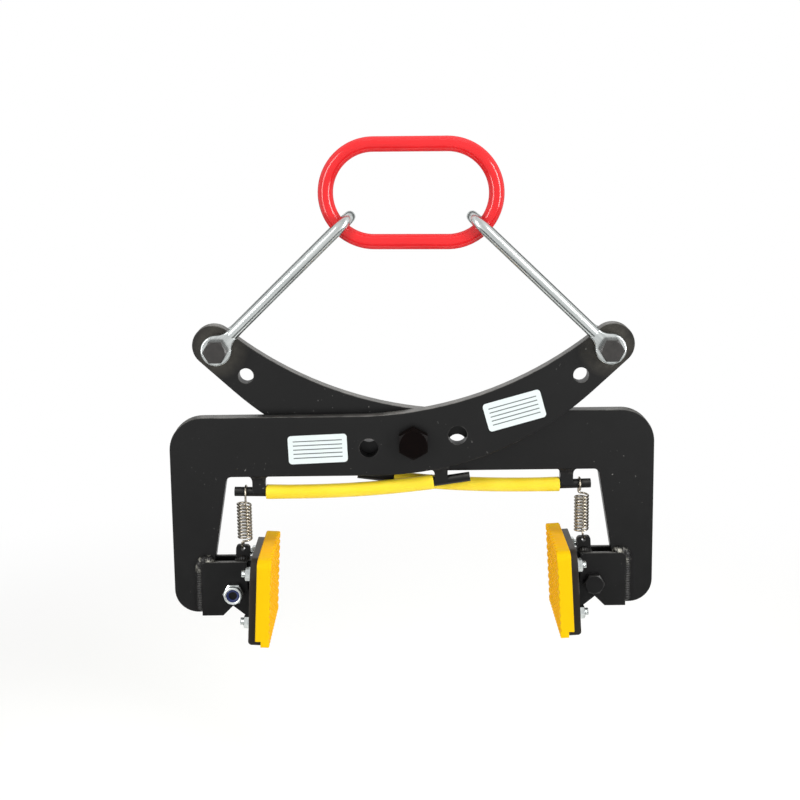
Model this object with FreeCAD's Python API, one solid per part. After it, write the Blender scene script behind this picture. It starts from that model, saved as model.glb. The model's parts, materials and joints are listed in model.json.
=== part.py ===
import FreeCAD, Part
import math
import os

from FreeCAD import Vector

# Lifting tongs for stone blocks: two crossed plate arms hang by shackles from an oblong master link.
# Millimetres. X runs to the right, Y from front to back, Z up.
# The origin is the hook seat, the middle of the top inside face of the master link.

# Master link: an oblong ring of round bar
link_bar_diameter = 13.0
link_inner_radius = 34.1
link_straight_length = 61.8

# Shackles: round rod bent to a long U, with a forged eye at each end
rod_diameter = 10.0
shackle_length = 158.1
shackle_side_clearance = 1.5
crown_clearance = 0.9
eye_radius = 13.0
eye_thickness = 9.0
eye_clearance = 0.3
eye_rim_radius = 1.5
neck_radius = 14.0

# Arms: thick plate, the same part twice, one turned half round
plate_thickness = 12.0
arm_gap = 0.4
leg_reach = 206.5
leg_drop = 149.0
leg_root_width = 47.5
leg_foot_width = 28.0
bar_rise = 22.5
bar_drop = 29.3
shoulder_radius = 28.0
heel_radius = 20.0
toe_radius = 3.0
armpit_radius = 5.0
horn_tip_reach = 168.6
horn_tip_rise = 81.9
horn_tip_radius = 17.7
horn_slope = math.radians(42.7)
saddle_radius = 320.0
belly_radius = 270.0
plate_edge_radius = 0.7

# Rows of holes in each arm
horn_hole_inset = 4.0
horn_hole_drop = 2.3
pivot_hole_spacing = 38.0
pivot_row_slope = math.radians(7.8)
horn_hole_spacing = 33.2
horn_row_slope = math.radians(45.6)

# Bolts and nuts, with the sizes of the metric coarse series
pivot_bolt_diameter = 16.0
pivot_head_flats = 24.0
pivot_head_height = 10.0
pivot_nut_height = 16.0
pivot_clearance = 0.1
pivot_washer_radius = 15.0
pivot_washer_thickness = 3.0
shackle_bolt_diameter = 12.0
shackle_head_flats = 18.0
shackle_head_height = 7.5
shackle_nut_height = 10.8
shackle_bolt_clearance = 0.5
jaw_bolt_diameter = 10.0
jaw_head_flats = 16.0
jaw_head_height = 6.4
jaw_nut_height = 10.0
jaw_nut_body_height = 6.6
jaw_clearance = 0.1
stud_diameter = 6.0
stud_nut_flats = 10.0
stud_nut_height = 5.0
stud_depth = 6.0
stud_clearance = 0.3
bolt_tip = 3.0
jaw_bolt_inset = 1.2
insert_wall = 1.6
insert_height = 2.4
insert_lip = 0.3
seat_clearance = 0.05
hex_face_share = 0.475
hex_sides = 6

# Jaw brackets: two cheek plates welded to the faces of each leg
cheek_thickness = 4.0
cheek_inset = 23.5
cheek_width = 40.0
cheek_height = 48.0
cheek_overhang = 2.0
cheek_chamfer = 22.0
cheek_corner_radius = 4.0
weld_width = 5.0
weld_end_gap = 2.0
weld_foot_gap = 12.0
weld_bulge_share = 0.125
jaw_hole_margin = 12.0
jaw_hole_rise = 21.5
jaw_tilt = 3.0

# Jaws, measured from the jaw bolt: inwards to the middle of the tongs, and up
knuckle_radius = 12.5
knuckle_side_clearance = 0.5
knuckle_top = 27.0
knuckle_foot = 27.0
holder_offset = 16.0
holder_thickness = 6.0
holder_top = 37.0
holder_bottom = 34.5
holder_bend_radius = 3.0
lip_thickness = 4.0
lip_reach = 4.6
tab_thickness = 4.0
tab_width = 12.0
tab_height = 12.0
tab_round = 3.0
tab_centre = 5.8
tab_hole_diameter = 6.5
tab_hole_rise = 7.3

# Grip pads: moulded blocks with a knobbed face
pad_width = 84.0
holder_side_margin = 3.0
pad_thickness = 10.0
pad_top_margin = 2.5
pad_bottom_margin = 1.0
knob_pitch = 7.1
knob_height = 2.0
groove_width = 3.6
stud_spread = 54.0
stud_upper_rise = 23.0
stud_lower_drop = 19.0

# Hoses on their pegs, and the springs that hang from the outer pegs
hose_outer_diameter = 12.0
hose_bore_diameter = 8.1
peg_diameter = 8.0
peg_overlap = 20.0
peg_stub_width = 11.0
peg_stub_depth = 8.0
outer_peg_inset = 53.5
outer_stub_inset = 74.5
inner_peg_reach = 48.0
inner_stub_reach = 23.5
hose_start_inset = 80.5
hose_start_drop = 44.0
hose_middle = (-46.0, -45.6)
hose_end = (17.0, -36.9)
hose_bend_share = 0.45
spring_wire_diameter = 1.5
spring_mean_radius = 5.8
spring_pitch = 2.9
spring_bend_radius = 2.0
spring_hook_clearance = 0.35
spring_coil_drop = 11.5
spring_least_gap = 0.4
gap_samples = 1200
hook_degrees = (-45, 0, 90, 180)
eye_degrees = (180, 270, 340)
straight_limit = 1e-9

# Label plates on the front arm
label_width = 50.0
label_height = 24.5
label_thickness = 0.6
label_corner_radius = 3.0
name_label_centre = (-80.9, -5.3)
name_label_tilt = -2.1
notice_label_centre = (85.5, 26.0)
notice_label_tilt = -15.3

# One overrun for all cuts
overrun = 5.0

rod_radius = rod_diameter / 2
link_bar_radius = link_bar_diameter / 2
link_half = link_straight_length / 2
link_bar_path_radius = link_inner_radius + link_bar_radius
crown_path_radius = link_inner_radius - rod_radius - crown_clearance
swing_length = shackle_length + crown_path_radius
horn_reach = horn_tip_reach - horn_hole_inset
horn_rise = horn_tip_rise - horn_hole_drop
shackle_angle = math.asin((horn_reach - link_half) / swing_length)
link_centre_z = -link_inner_radius
horn_z = link_centre_z - swing_length * math.cos(shackle_angle)
pivot_z = horn_z - horn_rise
arm_y = (plate_thickness + arm_gap) / 2
front_face_y = -arm_gap / 2 - plate_thickness
shackle_gap = max(plate_thickness, link_bar_diameter) + 2 * shackle_side_clearance
shackle_leg_y = shackle_gap / 2 + rod_radius
link_yaw = math.degrees(math.asin(arm_y / (link_half + link_bar_path_radius * math.sin(shackle_angle))))
pivot_hole_radius = pivot_bolt_diameter / 2 + pivot_clearance
horn_hole_radius = shackle_bolt_diameter / 2 + shackle_bolt_clearance
jaw_hole_radius = jaw_bolt_diameter / 2 + jaw_clearance
leg_root_reach = leg_reach - leg_root_width
leg_foot_reach = leg_reach - leg_foot_width
cheek_outer_reach = leg_reach - cheek_inset
cheek_inner_reach = cheek_outer_reach - cheek_width
cheek_bottom_drop = leg_drop + cheek_overhang
cheek_top_drop = cheek_bottom_drop - cheek_height
cheek_outer_offset = plate_thickness / 2 + cheek_thickness
jaw_reach = cheek_inner_reach + jaw_hole_margin
jaw_drop = cheek_bottom_drop - jaw_hole_rise
outer_peg_reach = leg_reach - outer_peg_inset
outer_stub_reach = leg_reach - outer_stub_inset
hose_start = (hose_start_inset - leg_reach, -hose_start_drop)
pad_back = holder_offset + holder_thickness
pad_top = holder_top + pad_top_margin
pad_bottom = holder_bottom + pad_bottom_margin
tab_hole_z = knuckle_top + tab_hole_rise

x_axis = Vector(1, 0, 0)
y_axis = Vector(0, 1, 0)
z_axis = Vector(0, 0, 1)
origin = Vector(0, 0, 0)


def at(x, z, y=0):
    """A point given from the centre pivot."""
    return Vector(x, y, pivot_z + z)


def arc(start, middle, end):
    return Part.Arc(start, middle, end).toShape()


def arc_about(centre, radius, start_angle, end_angle):
    """An arc in the XZ plane. Angles turn from +X towards +Z."""
    def rim(angle):
        return centre + Vector(radius * math.cos(angle), 0, radius * math.sin(angle))
    return arc(rim(start_angle), rim((start_angle + end_angle) / 2), rim(end_angle))


def tangent_arc(before, corner, after, radius):
    """Start, middle and end of the arc that rounds a corner."""
    back = (before - corner).normalize()
    ahead = (after - corner).normalize()
    half = back.getAngle(ahead) / 2
    bisector = (back + ahead).normalize()
    centre = corner + bisector * (radius / math.sin(half))
    reach = radius / math.tan(half)
    return corner + back * reach, centre - bisector * radius, corner + ahead * reach


def outline(corners):
    """A closed wire through corners, each a point and the radius that rounds it."""
    edges = []
    runs = []
    count = len(corners)
    for i, (point, radius) in enumerate(corners):
        before = corners[i - 1][0]
        after = corners[(i + 1) % count][0]
        if radius:
            start, middle, end = tangent_arc(before, point, after, radius)
            edges.append(arc(start, middle, end))
            runs.append((start, end))
        else:
            runs.append((point, point))
    for i, (start, end) in enumerate(runs):
        edges.append(Part.LineSegment(end, runs[(i + 1) % count][0]).toShape())
    return Part.Wire(Part.__sortEdges__(edges))


def slab(wire, y_low, thickness):
    """A plate with this outline in the XZ plane."""
    face = Part.Face(wire)
    face.translate(Vector(0, y_low - wire.BoundBox.YMin, 0))
    return face.extrude(y_axis * thickness)


def soften(shape, y_low, y_high, radius):
    """Rounds the edges of a plate that lie in its front and back faces."""
    rim = []
    for edge in shape.Edges:
        box = edge.BoundBox
        flat = box.YLength < seat_clearance
        if flat and min(abs(box.YMin - y_low), abs(box.YMin - y_high)) < seat_clearance:
            rim.append(edge)
    return shape.makeFillet(radius, rim)


def rod_y(radius, x, z, y_low, y_high):
    """A round bar along Y."""
    return Part.makeCylinder(radius, y_high - y_low, Vector(x, y_low, z), y_axis)


def hexagon(flats, x, z, y_low, y_high, face_low=False, face_high=False, corner_up=False):
    """A hexagonal prism along Y, with its corners bevelled at the faces asked for."""
    side_angle = 2 * math.pi / hex_sides
    radius = flats / 2 / math.cos(side_angle / 2)
    points = []
    for i in range(hex_sides + 1):
        angle = side_angle * (i + (1 / 2 if corner_up else 0))
        points.append(Vector(x + radius * math.cos(angle), y_low, z + radius * math.sin(angle)))
    height = y_high - y_low
    prism = Part.Face(Part.makePolygon(points)).extrude(y_axis * height)
    small = flats * hex_face_share
    large = small + height * math.sqrt(3)
    if face_low:
        prism = prism.common(Part.makeCone(small, large, height, Vector(x, y_low, z), y_axis))
    if face_high:
        prism = prism.common(Part.makeCone(large, small, height, Vector(x, y_low, z), y_axis))
    return prism


def half_turn(shape):
    """The same piece on the other arm, turned half round the upright axis."""
    turned = shape.copy()
    turned.rotate(origin, z_axis, 180)
    return turned


def save(name, shape):
    shape.exportStep("parts/" + name + ".step")
    print(name, len(shape.Solids), "solids", round(shape.Volume, 1), "mm3", shape.isValid())


def make_master_link():
    centre = Vector(0, 0, link_centre_z)
    left = centre - x_axis * link_half
    right = centre + x_axis * link_half
    up = z_axis * link_bar_path_radius
    path = Part.Wire([
        Part.LineSegment(left + up, right + up).toShape(),
        arc(right + up, right + x_axis * link_bar_path_radius, right - up),
        Part.LineSegment(right - up, left - up).toShape(),
        arc(left - up, left - x_axis * link_bar_path_radius, left + up),
    ])
    section = Part.Wire(Part.makeCircle(link_bar_radius, centre + up, x_axis))
    link = path.makePipeShell([section], True, False)
    link.rotate(centre, z_axis, -link_yaw)
    return link


def make_eye(leg_y):
    """A forged eye with its neck, for a rod that runs up from the eye along Z."""
    side = rod_radius + neck_radius
    neck_rise = math.sqrt((eye_radius + neck_radius) ** 2 - side ** 2)
    meet = math.atan2(neck_rise, side)
    right = Vector(side, 0, neck_rise)
    left = Vector(-side, 0, neck_rise)
    wire = Part.Wire([
        arc_about(right, neck_radius, math.pi, math.pi + meet),
        arc_about(origin, eye_radius, meet, -math.pi - meet),
        arc_about(left, neck_radius, -meet, 0),
        Part.LineSegment(Vector(-rod_radius, 0, neck_rise), Vector(rod_radius, 0, neck_rise)).toShape(),
    ])
    y_low = leg_y - eye_thickness / 2
    y_high = leg_y + eye_thickness / 2
    hole_radius = shackle_bolt_diameter / 2 + eye_clearance
    eye = soften(slab(wire, y_low, eye_thickness), y_low, y_high, eye_rim_radius)
    return eye.cut(rod_y(hole_radius, 0, 0, y_low - overrun, y_high + overrun)), neck_rise


def make_shackle():
    """The shackle of the front arm's horn, leaning in to the master link."""
    front_eye, neck_rise = make_eye(-shackle_leg_y)
    back_eye, neck_rise = make_eye(shackle_leg_y)
    rod_start = neck_rise - eye_rim_radius
    crown_z = shackle_length - shackle_leg_y
    front = Vector(0, -shackle_leg_y, rod_start)
    back = Vector(0, shackle_leg_y, rod_start)
    crown_front = Vector(0, -shackle_leg_y, crown_z)
    crown_back = Vector(0, shackle_leg_y, crown_z)
    path = Part.Wire([
        Part.LineSegment(front, crown_front).toShape(),
        arc(crown_front, Vector(0, 0, shackle_length), crown_back),
        Part.LineSegment(crown_back, back).toShape(),
    ])
    section = Part.Wire(Part.makeCircle(rod_radius, front, z_axis))
    rod = path.makePipeShell([section], True, False)
    shackle = rod.fuse([front_eye, back_eye]).removeSplitter()
    shackle.rotate(origin, y_axis, -math.degrees(shackle_angle))
    shackle.translate(Vector(horn_reach, -arm_y, horn_z))
    return shackle


def make_shackle_fasteners(x, y):
    """The bolt through a horn and its shackle, head to the front, and its nut."""
    face = shackle_leg_y + eye_thickness / 2
    tip = y + face + shackle_nut_height + bolt_tip
    head = hexagon(shackle_head_flats, x, horn_z, y - face - shackle_head_height, y - face, face_low=True)
    bolt = head.fuse(rod_y(shackle_bolt_diameter / 2, x, horn_z, y - face, tip))
    nut = hexagon(shackle_head_flats, x, horn_z, y + face, y + face + shackle_nut_height, True, True)
    bore = rod_y(shackle_bolt_diameter / 2 + seat_clearance, x, horn_z, y, tip + overrun)
    return bolt.removeSplitter(), nut.cut(bore)


def arm_wire():
    """The outline of the front arm, from its left leg over the bar to its right horn."""
    horn = at(horn_tip_reach, horn_tip_rise)
    saddle_drop = bar_rise + saddle_radius - horn_tip_rise
    saddle_reach = math.sqrt((saddle_radius + horn_tip_radius) ** 2 - saddle_drop ** 2)
    saddle = at(horn_tip_reach - saddle_reach, bar_rise + saddle_radius)
    saddle_angle = math.atan2(-saddle_drop, saddle_reach)
    under = horn + Vector(math.sin(horn_slope), 0, -math.cos(horn_slope)) * horn_tip_radius
    belly_rise = belly_radius * (1 - math.cos(horn_slope))
    belly_reach = belly_radius * math.sin(horn_slope)
    run = (under.z - pivot_z + bar_drop - belly_rise) / math.tan(horn_slope)
    belly_x = under.x - run - belly_reach
    belly = at(belly_x, belly_radius - bar_drop)
    belly_start = at(belly_x, -bar_drop)
    belly_end = at(belly_x + belly_reach, belly_rise - bar_drop)
    saddle_start = at(horn_tip_reach - saddle_reach, bar_rise)

    shoulder = at(-leg_reach, bar_rise)
    heel = at(-leg_reach, -leg_drop)
    toe = at(-leg_foot_reach, -leg_drop)
    armpit = at(-leg_root_reach, -bar_drop)
    stops = [
        tangent_arc(saddle_start, shoulder, heel, shoulder_radius),
        tangent_arc(shoulder, heel, toe, heel_radius),
        tangent_arc(heel, toe, armpit, toe_radius),
        tangent_arc(toe, armpit, belly_start, armpit_radius),
    ]
    edges = []
    here = saddle_start
    for start, middle, end in stops:
        edges.append(Part.LineSegment(here, start).toShape())
        edges.append(arc(start, middle, end))
        here = end
    edges.append(Part.LineSegment(here, belly_start).toShape())
    edges.append(arc_about(belly, belly_radius, -math.pi / 2, horn_slope - math.pi / 2))
    edges.append(Part.LineSegment(belly_end, under).toShape())
    edges.append(arc_about(horn, horn_tip_radius, horn_slope - math.pi / 2, math.pi + saddle_angle))
    edges.append(arc_about(saddle, saddle_radius, saddle_angle, -math.pi / 2))
    return Part.Wire(edges)


def make_arm():
    y_low = front_face_y
    y_high = front_face_y + plate_thickness
    arm = soften(slab(arm_wire(), y_low, plate_thickness), y_low, y_high, plate_edge_radius)
    holes = []
    for place in (-1, 0, 1):
        x = place * pivot_hole_spacing * math.cos(pivot_row_slope)
        z = place * pivot_hole_spacing * math.sin(pivot_row_slope)
        holes.append(rod_y(pivot_hole_radius, x, pivot_z + z, y_low - overrun, y_high + overrun))
    for place in (0, 1):
        x = horn_reach - place * horn_hole_spacing * math.cos(horn_row_slope)
        z = horn_rise - place * horn_hole_spacing * math.sin(horn_row_slope)
        holes.append(rod_y(horn_hole_radius, x, pivot_z + z, y_low - overrun, y_high + overrun))
    return arm.cut(holes)


def make_pivot_fasteners():
    """The centre bolt, head to the front, with its washer and nut at the back."""
    front = front_face_y
    washer_y = -front_face_y
    nut_y = washer_y + pivot_washer_thickness
    tip = nut_y + pivot_nut_height + bolt_tip
    bolt_radius = pivot_bolt_diameter / 2
    head = hexagon(pivot_head_flats, 0, pivot_z, front - pivot_head_height, front, True, False, True)
    bolt = head.fuse(rod_y(bolt_radius, 0, pivot_z, front, tip)).removeSplitter()
    bore = rod_y(bolt_radius + seat_clearance, 0, pivot_z, front, tip + overrun)
    washer = rod_y(pivot_washer_radius, 0, pivot_z, washer_y, nut_y).cut(bore)
    nut = hexagon(pivot_head_flats, 0, pivot_z, nut_y, nut_y + pivot_nut_height, True, True, True).cut(bore)
    return bolt, washer, nut


def make_cheek(y_low):
    """One cheek plate of the left jaw bracket."""
    wire = outline([
        (at(-cheek_outer_reach, -cheek_top_drop), cheek_corner_radius),
        (at(-cheek_outer_reach, -cheek_bottom_drop), 0),
        (at(-cheek_inner_reach - cheek_chamfer, -cheek_bottom_drop), 0),
        (at(-cheek_inner_reach, -cheek_bottom_drop + cheek_chamfer), 0),
        (at(-cheek_inner_reach, -cheek_top_drop), 0),
    ])
    y_high = y_low + cheek_thickness
    cheek = soften(slab(wire, y_low, cheek_thickness), y_low, y_high, plate_edge_radius)
    hole = rod_y(jaw_hole_radius, -jaw_reach, pivot_z - jaw_drop, y_low - overrun, y_high + overrun)
    return cheek.cut(hole)


def make_weld(y_face, outwards):
    """A fillet weld down the outer edge of a cheek plate, on the face of the leg."""
    top = pivot_z - cheek_top_drop - cheek_corner_radius - weld_end_gap
    bottom = pivot_z - leg_drop + weld_foot_gap
    x = -cheek_outer_reach
    toe = Vector(x - weld_width, y_face, bottom)
    root = Vector(x, y_face, bottom)
    crown = Vector(x, y_face + outwards * cheek_thickness, bottom)
    bulge = (toe + crown) / 2 + Vector(-weld_width, outwards * cheek_thickness, 0) * weld_bulge_share
    wire = Part.Wire([
        Part.LineSegment(crown, root).toShape(),
        Part.LineSegment(root, toe).toShape(),
        arc(toe, bulge, crown),
    ])
    return Part.Face(wire).extrude(z_axis * (top - bottom))


def make_jaw_fasteners():
    """The left jaw bolt, head to the back, its locking nut and the nut's nylon ring."""
    x = -jaw_reach
    z = pivot_z - jaw_drop
    front = -arm_y - cheek_outer_offset
    back = -arm_y + cheek_outer_offset
    bolt_radius = jaw_bolt_diameter / 2
    tip = front - jaw_nut_height + jaw_bolt_inset
    head = hexagon(jaw_head_flats, x, z, back, back + jaw_head_height, face_high=True)
    bolt = head.fuse(rod_y(bolt_radius, x, z, tip, back)).removeSplitter()
    body = hexagon(jaw_head_flats, x, z, front - jaw_nut_body_height, front, True, True)
    collar_radius = jaw_head_flats * hex_face_share
    collar = rod_y(collar_radius, x, z, front - jaw_nut_height, front - jaw_nut_body_height)
    bore = rod_y(bolt_radius + seat_clearance, x, z, front - jaw_nut_height - overrun, front + overrun)
    pocket_radius = bolt_radius + seat_clearance + insert_wall
    insert_low = front - jaw_nut_height + insert_lip
    pocket = rod_y(pocket_radius, x, z, front - jaw_nut_height - overrun, insert_low + insert_height)
    nut = body.fuse(collar).removeSplitter().cut(bore).cut(pocket)
    insert = rod_y(pocket_radius - seat_clearance, x, z, insert_low, insert_low + insert_height).cut(bore)
    return bolt, nut, insert


def seat_jaw(shape):
    """Puts a piece of the left jaw on its bolt, tilted as it hangs."""
    shape.rotate(origin, y_axis, jaw_tilt)
    shape.translate(at(-jaw_reach, -jaw_drop, -arm_y))
    return shape


def stud_places():
    """Where the studs pass the holder: across the tongs, and up from the jaw bolt."""
    places = []
    for z in (stud_upper_rise, -stud_lower_drop):
        for y in (-stud_spread / 2, stud_spread / 2):
            places.append((y, z))
    return places


def stud_rods(radius, x_low, x_high):
    rods = []
    for y, z in stud_places():
        rods.append(Part.makeCylinder(radius, x_high - x_low, Vector(x_low, y, z), x_axis))
    return rods


def make_knuckle():
    """The lug that carries the holder on the jaw bolt."""
    thickness = plate_thickness - 2 * knuckle_side_clearance
    foot = Vector(holder_offset, 0, -knuckle_foot)
    shelf = Vector(tab_centre - tab_width / 2, 0, knuckle_top)
    reach = foot.Length
    slope = math.atan2(foot.z, foot.x) - math.acos(knuckle_radius / reach)
    start = Vector(knuckle_radius * math.cos(slope), 0, knuckle_radius * math.sin(slope))
    wire = Part.Wire([
        arc_about(origin, knuckle_radius, slope, -math.pi),
        Part.LineSegment(Vector(-knuckle_radius, 0, 0), shelf).toShape(),
        Part.LineSegment(shelf, Vector(holder_offset, 0, knuckle_top)).toShape(),
        Part.LineSegment(Vector(holder_offset, 0, knuckle_top), foot).toShape(),
        Part.LineSegment(foot, start).toShape(),
    ])
    lug = slab(wire, -thickness / 2, thickness)
    return seat_jaw(lug.cut(rod_y(jaw_hole_radius, 0, 0, -thickness, thickness)))


def make_spring_tab():
    """The small upright plate on the knuckle that the spring hooks into."""
    left = tab_centre - tab_width / 2
    right = tab_centre + tab_width / 2
    wire = outline([
        (Vector(left, 0, knuckle_top), 0),
        (Vector(right, 0, knuckle_top), 0),
        (Vector(right, 0, knuckle_top + tab_height), tab_round),
        (Vector(left, 0, knuckle_top + tab_height), tab_round),
    ])
    tab = slab(wire, -tab_thickness / 2, tab_thickness)
    hole = rod_y(tab_hole_diameter / 2, tab_centre, tab_hole_z, -tab_thickness, tab_thickness)
    return seat_jaw(tab.cut(hole))


def make_holder():
    """The pad's back plate, with the lip that the pad stands on."""
    wire = outline([
        (Vector(holder_offset, 0, -holder_bottom), holder_bend_radius),
        (Vector(pad_back + lip_reach, 0, -holder_bottom), 0),
        (Vector(pad_back + lip_reach, 0, lip_thickness - holder_bottom), 0),
        (Vector(pad_back, 0, lip_thickness - holder_bottom), 0),
        (Vector(pad_back, 0, holder_top), 0),
        (Vector(holder_offset, 0, holder_top), 0),
    ])
    width = pad_width - 2 * holder_side_margin
    plate = slab(wire, -width / 2, width)
    holes = stud_rods(stud_diameter / 2 + stud_clearance, holder_offset - overrun, pad_back + overrun)
    return seat_jaw(plate.cut(holes))


def groove_starts(length):
    """Places of the grooves between knobs, evenly spread over a length about its middle."""
    knobs = max(2, round(length / knob_pitch))
    return [length * (i / knobs - 1 / 2) for i in range(1, knobs)]


def make_pad():
    """The grip pad: a block with crossing V grooves that leave rows of knobs."""
    face = pad_back + pad_thickness + knob_height
    depth = face - pad_back
    height = pad_top + pad_bottom
    block = Part.makeBox(depth, pad_width, height, Vector(pad_back, -pad_width / 2, -pad_bottom))
    lip_room = Part.makeBox(lip_reach + seat_clearance, pad_width, pad_bottom - holder_bottom + lip_thickness,
                            Vector(pad_back, -pad_width / 2, -pad_bottom))
    socket_radius = stud_diameter / 2 + seat_clearance
    cuts = [lip_room] + stud_rods(socket_radius, pad_back - overrun, pad_back + stud_depth)
    middle_z = (pad_top - pad_bottom) / 2
    half = groove_width / 2
    for offset in groove_starts(height):
        z = middle_z + offset
        y = -pad_width / 2 - overrun
        corners = [Vector(face, y, z - half), Vector(face, y, z + half), Vector(face - knob_height, y, z)]
        groove = Part.Face(Part.makePolygon(corners + corners[:1]))
        cuts.append(groove.extrude(y_axis * (pad_width + 2 * overrun)))
    for y in groove_starts(pad_width):
        z = -pad_bottom - overrun
        corners = [Vector(face, y - half, z), Vector(face, y + half, z), Vector(face - knob_height, y, z)]
        groove = Part.Face(Part.makePolygon(corners + corners[:1]))
        cuts.append(groove.extrude(z_axis * (height + 2 * overrun)))
    return seat_jaw(block.cut(cuts))


def make_studs():
    back = holder_offset - stud_nut_height - bolt_tip
    front = pad_back + stud_depth - seat_clearance
    return [seat_jaw(rod) for rod in stud_rods(stud_diameter / 2, back, front)]


def make_stud_nuts():
    nuts = []
    for y, z in stud_places():
        nut = hexagon(stud_nut_flats, 0, 0, 0, stud_nut_height, True, True)
        nut = nut.cut(rod_y(stud_diameter / 2 + seat_clearance, 0, 0, -overrun, stud_nut_height + overrun))
        nut.rotate(origin, z_axis, -90)
        nut.translate(Vector(holder_offset - stud_nut_height, y, z))
        nuts.append(seat_jaw(nut))
    return nuts


def hose_route():
    """Start, bend and end of the front hose, with the radius of its one long bend."""
    points = [at(x, z, -arm_y) for x, z in (hose_start, hose_middle, hose_end)]
    first = points[1] - points[0]
    second = points[2] - points[1]
    turn = first.getAngle(second)
    radius = hose_bend_share * min(first.Length, second.Length) / math.tan(turn / 2)
    return points, radius


def make_hose():
    """The front hose, pushed over the two pegs of the front arm."""
    points, radius = hose_route()
    start, middle, end = tangent_arc(points[0], points[1], points[2], radius)
    path = Part.Wire([
        Part.LineSegment(points[0], start).toShape(),
        arc(start, middle, end),
        Part.LineSegment(end, points[2]).toShape(),
    ])
    along = points[1] - points[0]
    tubes = []
    for diameter in (hose_outer_diameter, hose_bore_diameter):
        section = Part.Wire(Part.makeCircle(diameter / 2, points[0], along))
        tubes.append(path.makePipeShell([section], True, False))
    hose = tubes[0].cut(tubes[1])
    section_area = math.pi * (hose_outer_diameter ** 2 - hose_bore_diameter ** 2) / 4
    print("hose bend radius", round(radius, 1), "length", round(path.Length, 1))
    print("hose volume", round(hose.Volume, 1), "section times length", round(section_area * path.Length, 1))
    return hose


def make_peg(mouth, inside, stub_x, free_x, arm):
    """A peg of round rod in the hose mouth, on a stub welded under the arm."""
    along = (inside - mouth).normalize()
    inner_end = mouth + along * peg_overlap
    free_end = mouth + along * ((free_x - mouth.x) / along.x)
    rod = Part.makeCylinder(peg_diameter / 2, (inner_end - free_end).Length, free_end, along)
    axis = mouth + along * ((stub_x - mouth.x) / along.x)
    corner = axis - Vector(peg_stub_width / 2, peg_stub_depth / 2, 0)
    stub = Part.makeBox(peg_stub_width, peg_stub_depth, bar_drop, corner)
    return rod.fuse(stub.cut(arm)).removeSplitter()


def biarc(start, start_way, end, end_way):
    """Two tangent arcs between two points with given directions."""
    span = end - start
    ways = start_way + end_way
    bend = 2 * (1 - start_way.dot(end_way))
    along = span.dot(ways)
    if bend < straight_limit:
        return [Part.LineSegment(start, end).toShape()]
    reach = (math.sqrt(along ** 2 + bend * span.dot(span)) - along) / bend
    join = (start + end + (start_way - end_way) * reach) / 2
    edges = []
    for first, knee, last in ((start, start + start_way * reach, join), (join, end - end_way * reach, end)):
        chord_middle = (first + last) / 2
        rise = knee - chord_middle
        half_chord = (last - first).Length / 2
        sagitta = half_chord * math.tan(math.atan2(rise.Length, half_chord) / 2)
        edges.append(arc(first, chord_middle + rise.normalize() * sagitta, last))
    return edges


def spring_stations(coil_top, coil_bottom, hook_z, eye_z, x, y):
    """Points and directions along a spring's wire, from the hook on the peg to the eye in the tab."""
    radius = spring_mean_radius
    bend = spring_bend_radius
    down = Vector(0, 0, -1)
    stations = []
    for degrees in hook_degrees:
        angle = math.radians(degrees)
        point = Vector(x + bend, y + radius * math.cos(angle), hook_z + radius * math.sin(angle))
        stations.append((point, Vector(0, -math.sin(angle), math.cos(angle))))
    stations.append((Vector(x + bend, y - radius, coil_top + bend), down))
    turns = max(1, round((coil_top - coil_bottom) / spring_pitch))
    quarters = 4 * turns
    fall = (coil_top - coil_bottom) / quarters
    for i in range(quarters + 1):
        angle = -math.pi / 2 - i * math.pi / 2
        point = Vector(x + radius * math.cos(angle), y + radius * math.sin(angle), coil_top - i * fall)
        way = Vector(radius * math.sin(angle), -radius * math.cos(angle), -fall / (math.pi / 2))
        stations.append((point, way.normalize()))
    for degrees in eye_degrees:
        angle = math.radians(degrees)
        point = Vector(x - bend, y + radius * math.cos(angle), eye_z + radius * math.sin(angle))
        stations.append((point, Vector(0, -math.sin(angle), math.cos(angle))))
    return stations


def least_self_gap(path, thickness):
    """The least clear gap between turns, on points along the wire."""
    points = path.discretize(Number=gap_samples)
    step = path.Length / (len(points) - 1)
    apart = math.ceil(math.pi * spring_mean_radius / step)
    least = path.Length
    for i, point in enumerate(points):
        for other in points[i + apart:]:
            least = min(least, point.distanceToPoint(other))
    return least - thickness


def make_spring():
    """The left spring: one length of wire from the outer peg to the spring tab."""
    points, radius = hose_route()
    along = (points[1] - points[0]).normalize()
    place = seat_jaw(Part.Vertex(Vector(tab_centre, 0, tab_hole_z))).Point
    x = place.x + spring_bend_radius
    y = place.y
    wire_radius = spring_wire_diameter / 2
    peg_z = points[0].z + along.z * ((x + spring_bend_radius - points[0].x) / along.x)
    hook_z = peg_z + peg_diameter / 2 + spring_hook_clearance + wire_radius - spring_mean_radius
    eye_z = place.z + tab_hole_diameter / 2 - wire_radius - 2 * spring_hook_clearance + spring_mean_radius
    coil_top = hook_z - spring_coil_drop + spring_bend_radius
    coil_bottom = eye_z + spring_bend_radius
    stations = spring_stations(coil_top, coil_bottom, hook_z, eye_z, x, y)
    edges = []
    for (start, start_way), (end, end_way) in zip(stations, stations[1:]):
        edges += biarc(start, start_way, end, end_way)
    path = Part.Wire(edges)
    first_point, first_way = stations[0]
    section = Part.Wire(Part.makeCircle(wire_radius, first_point, first_way))
    spring = path.makePipeShell([section], True, False)
    gap = least_self_gap(path, spring_wire_diameter)
    print("spring least self gap", round(gap, 2), "above", spring_least_gap, gap > spring_least_gap)
    return spring


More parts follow.
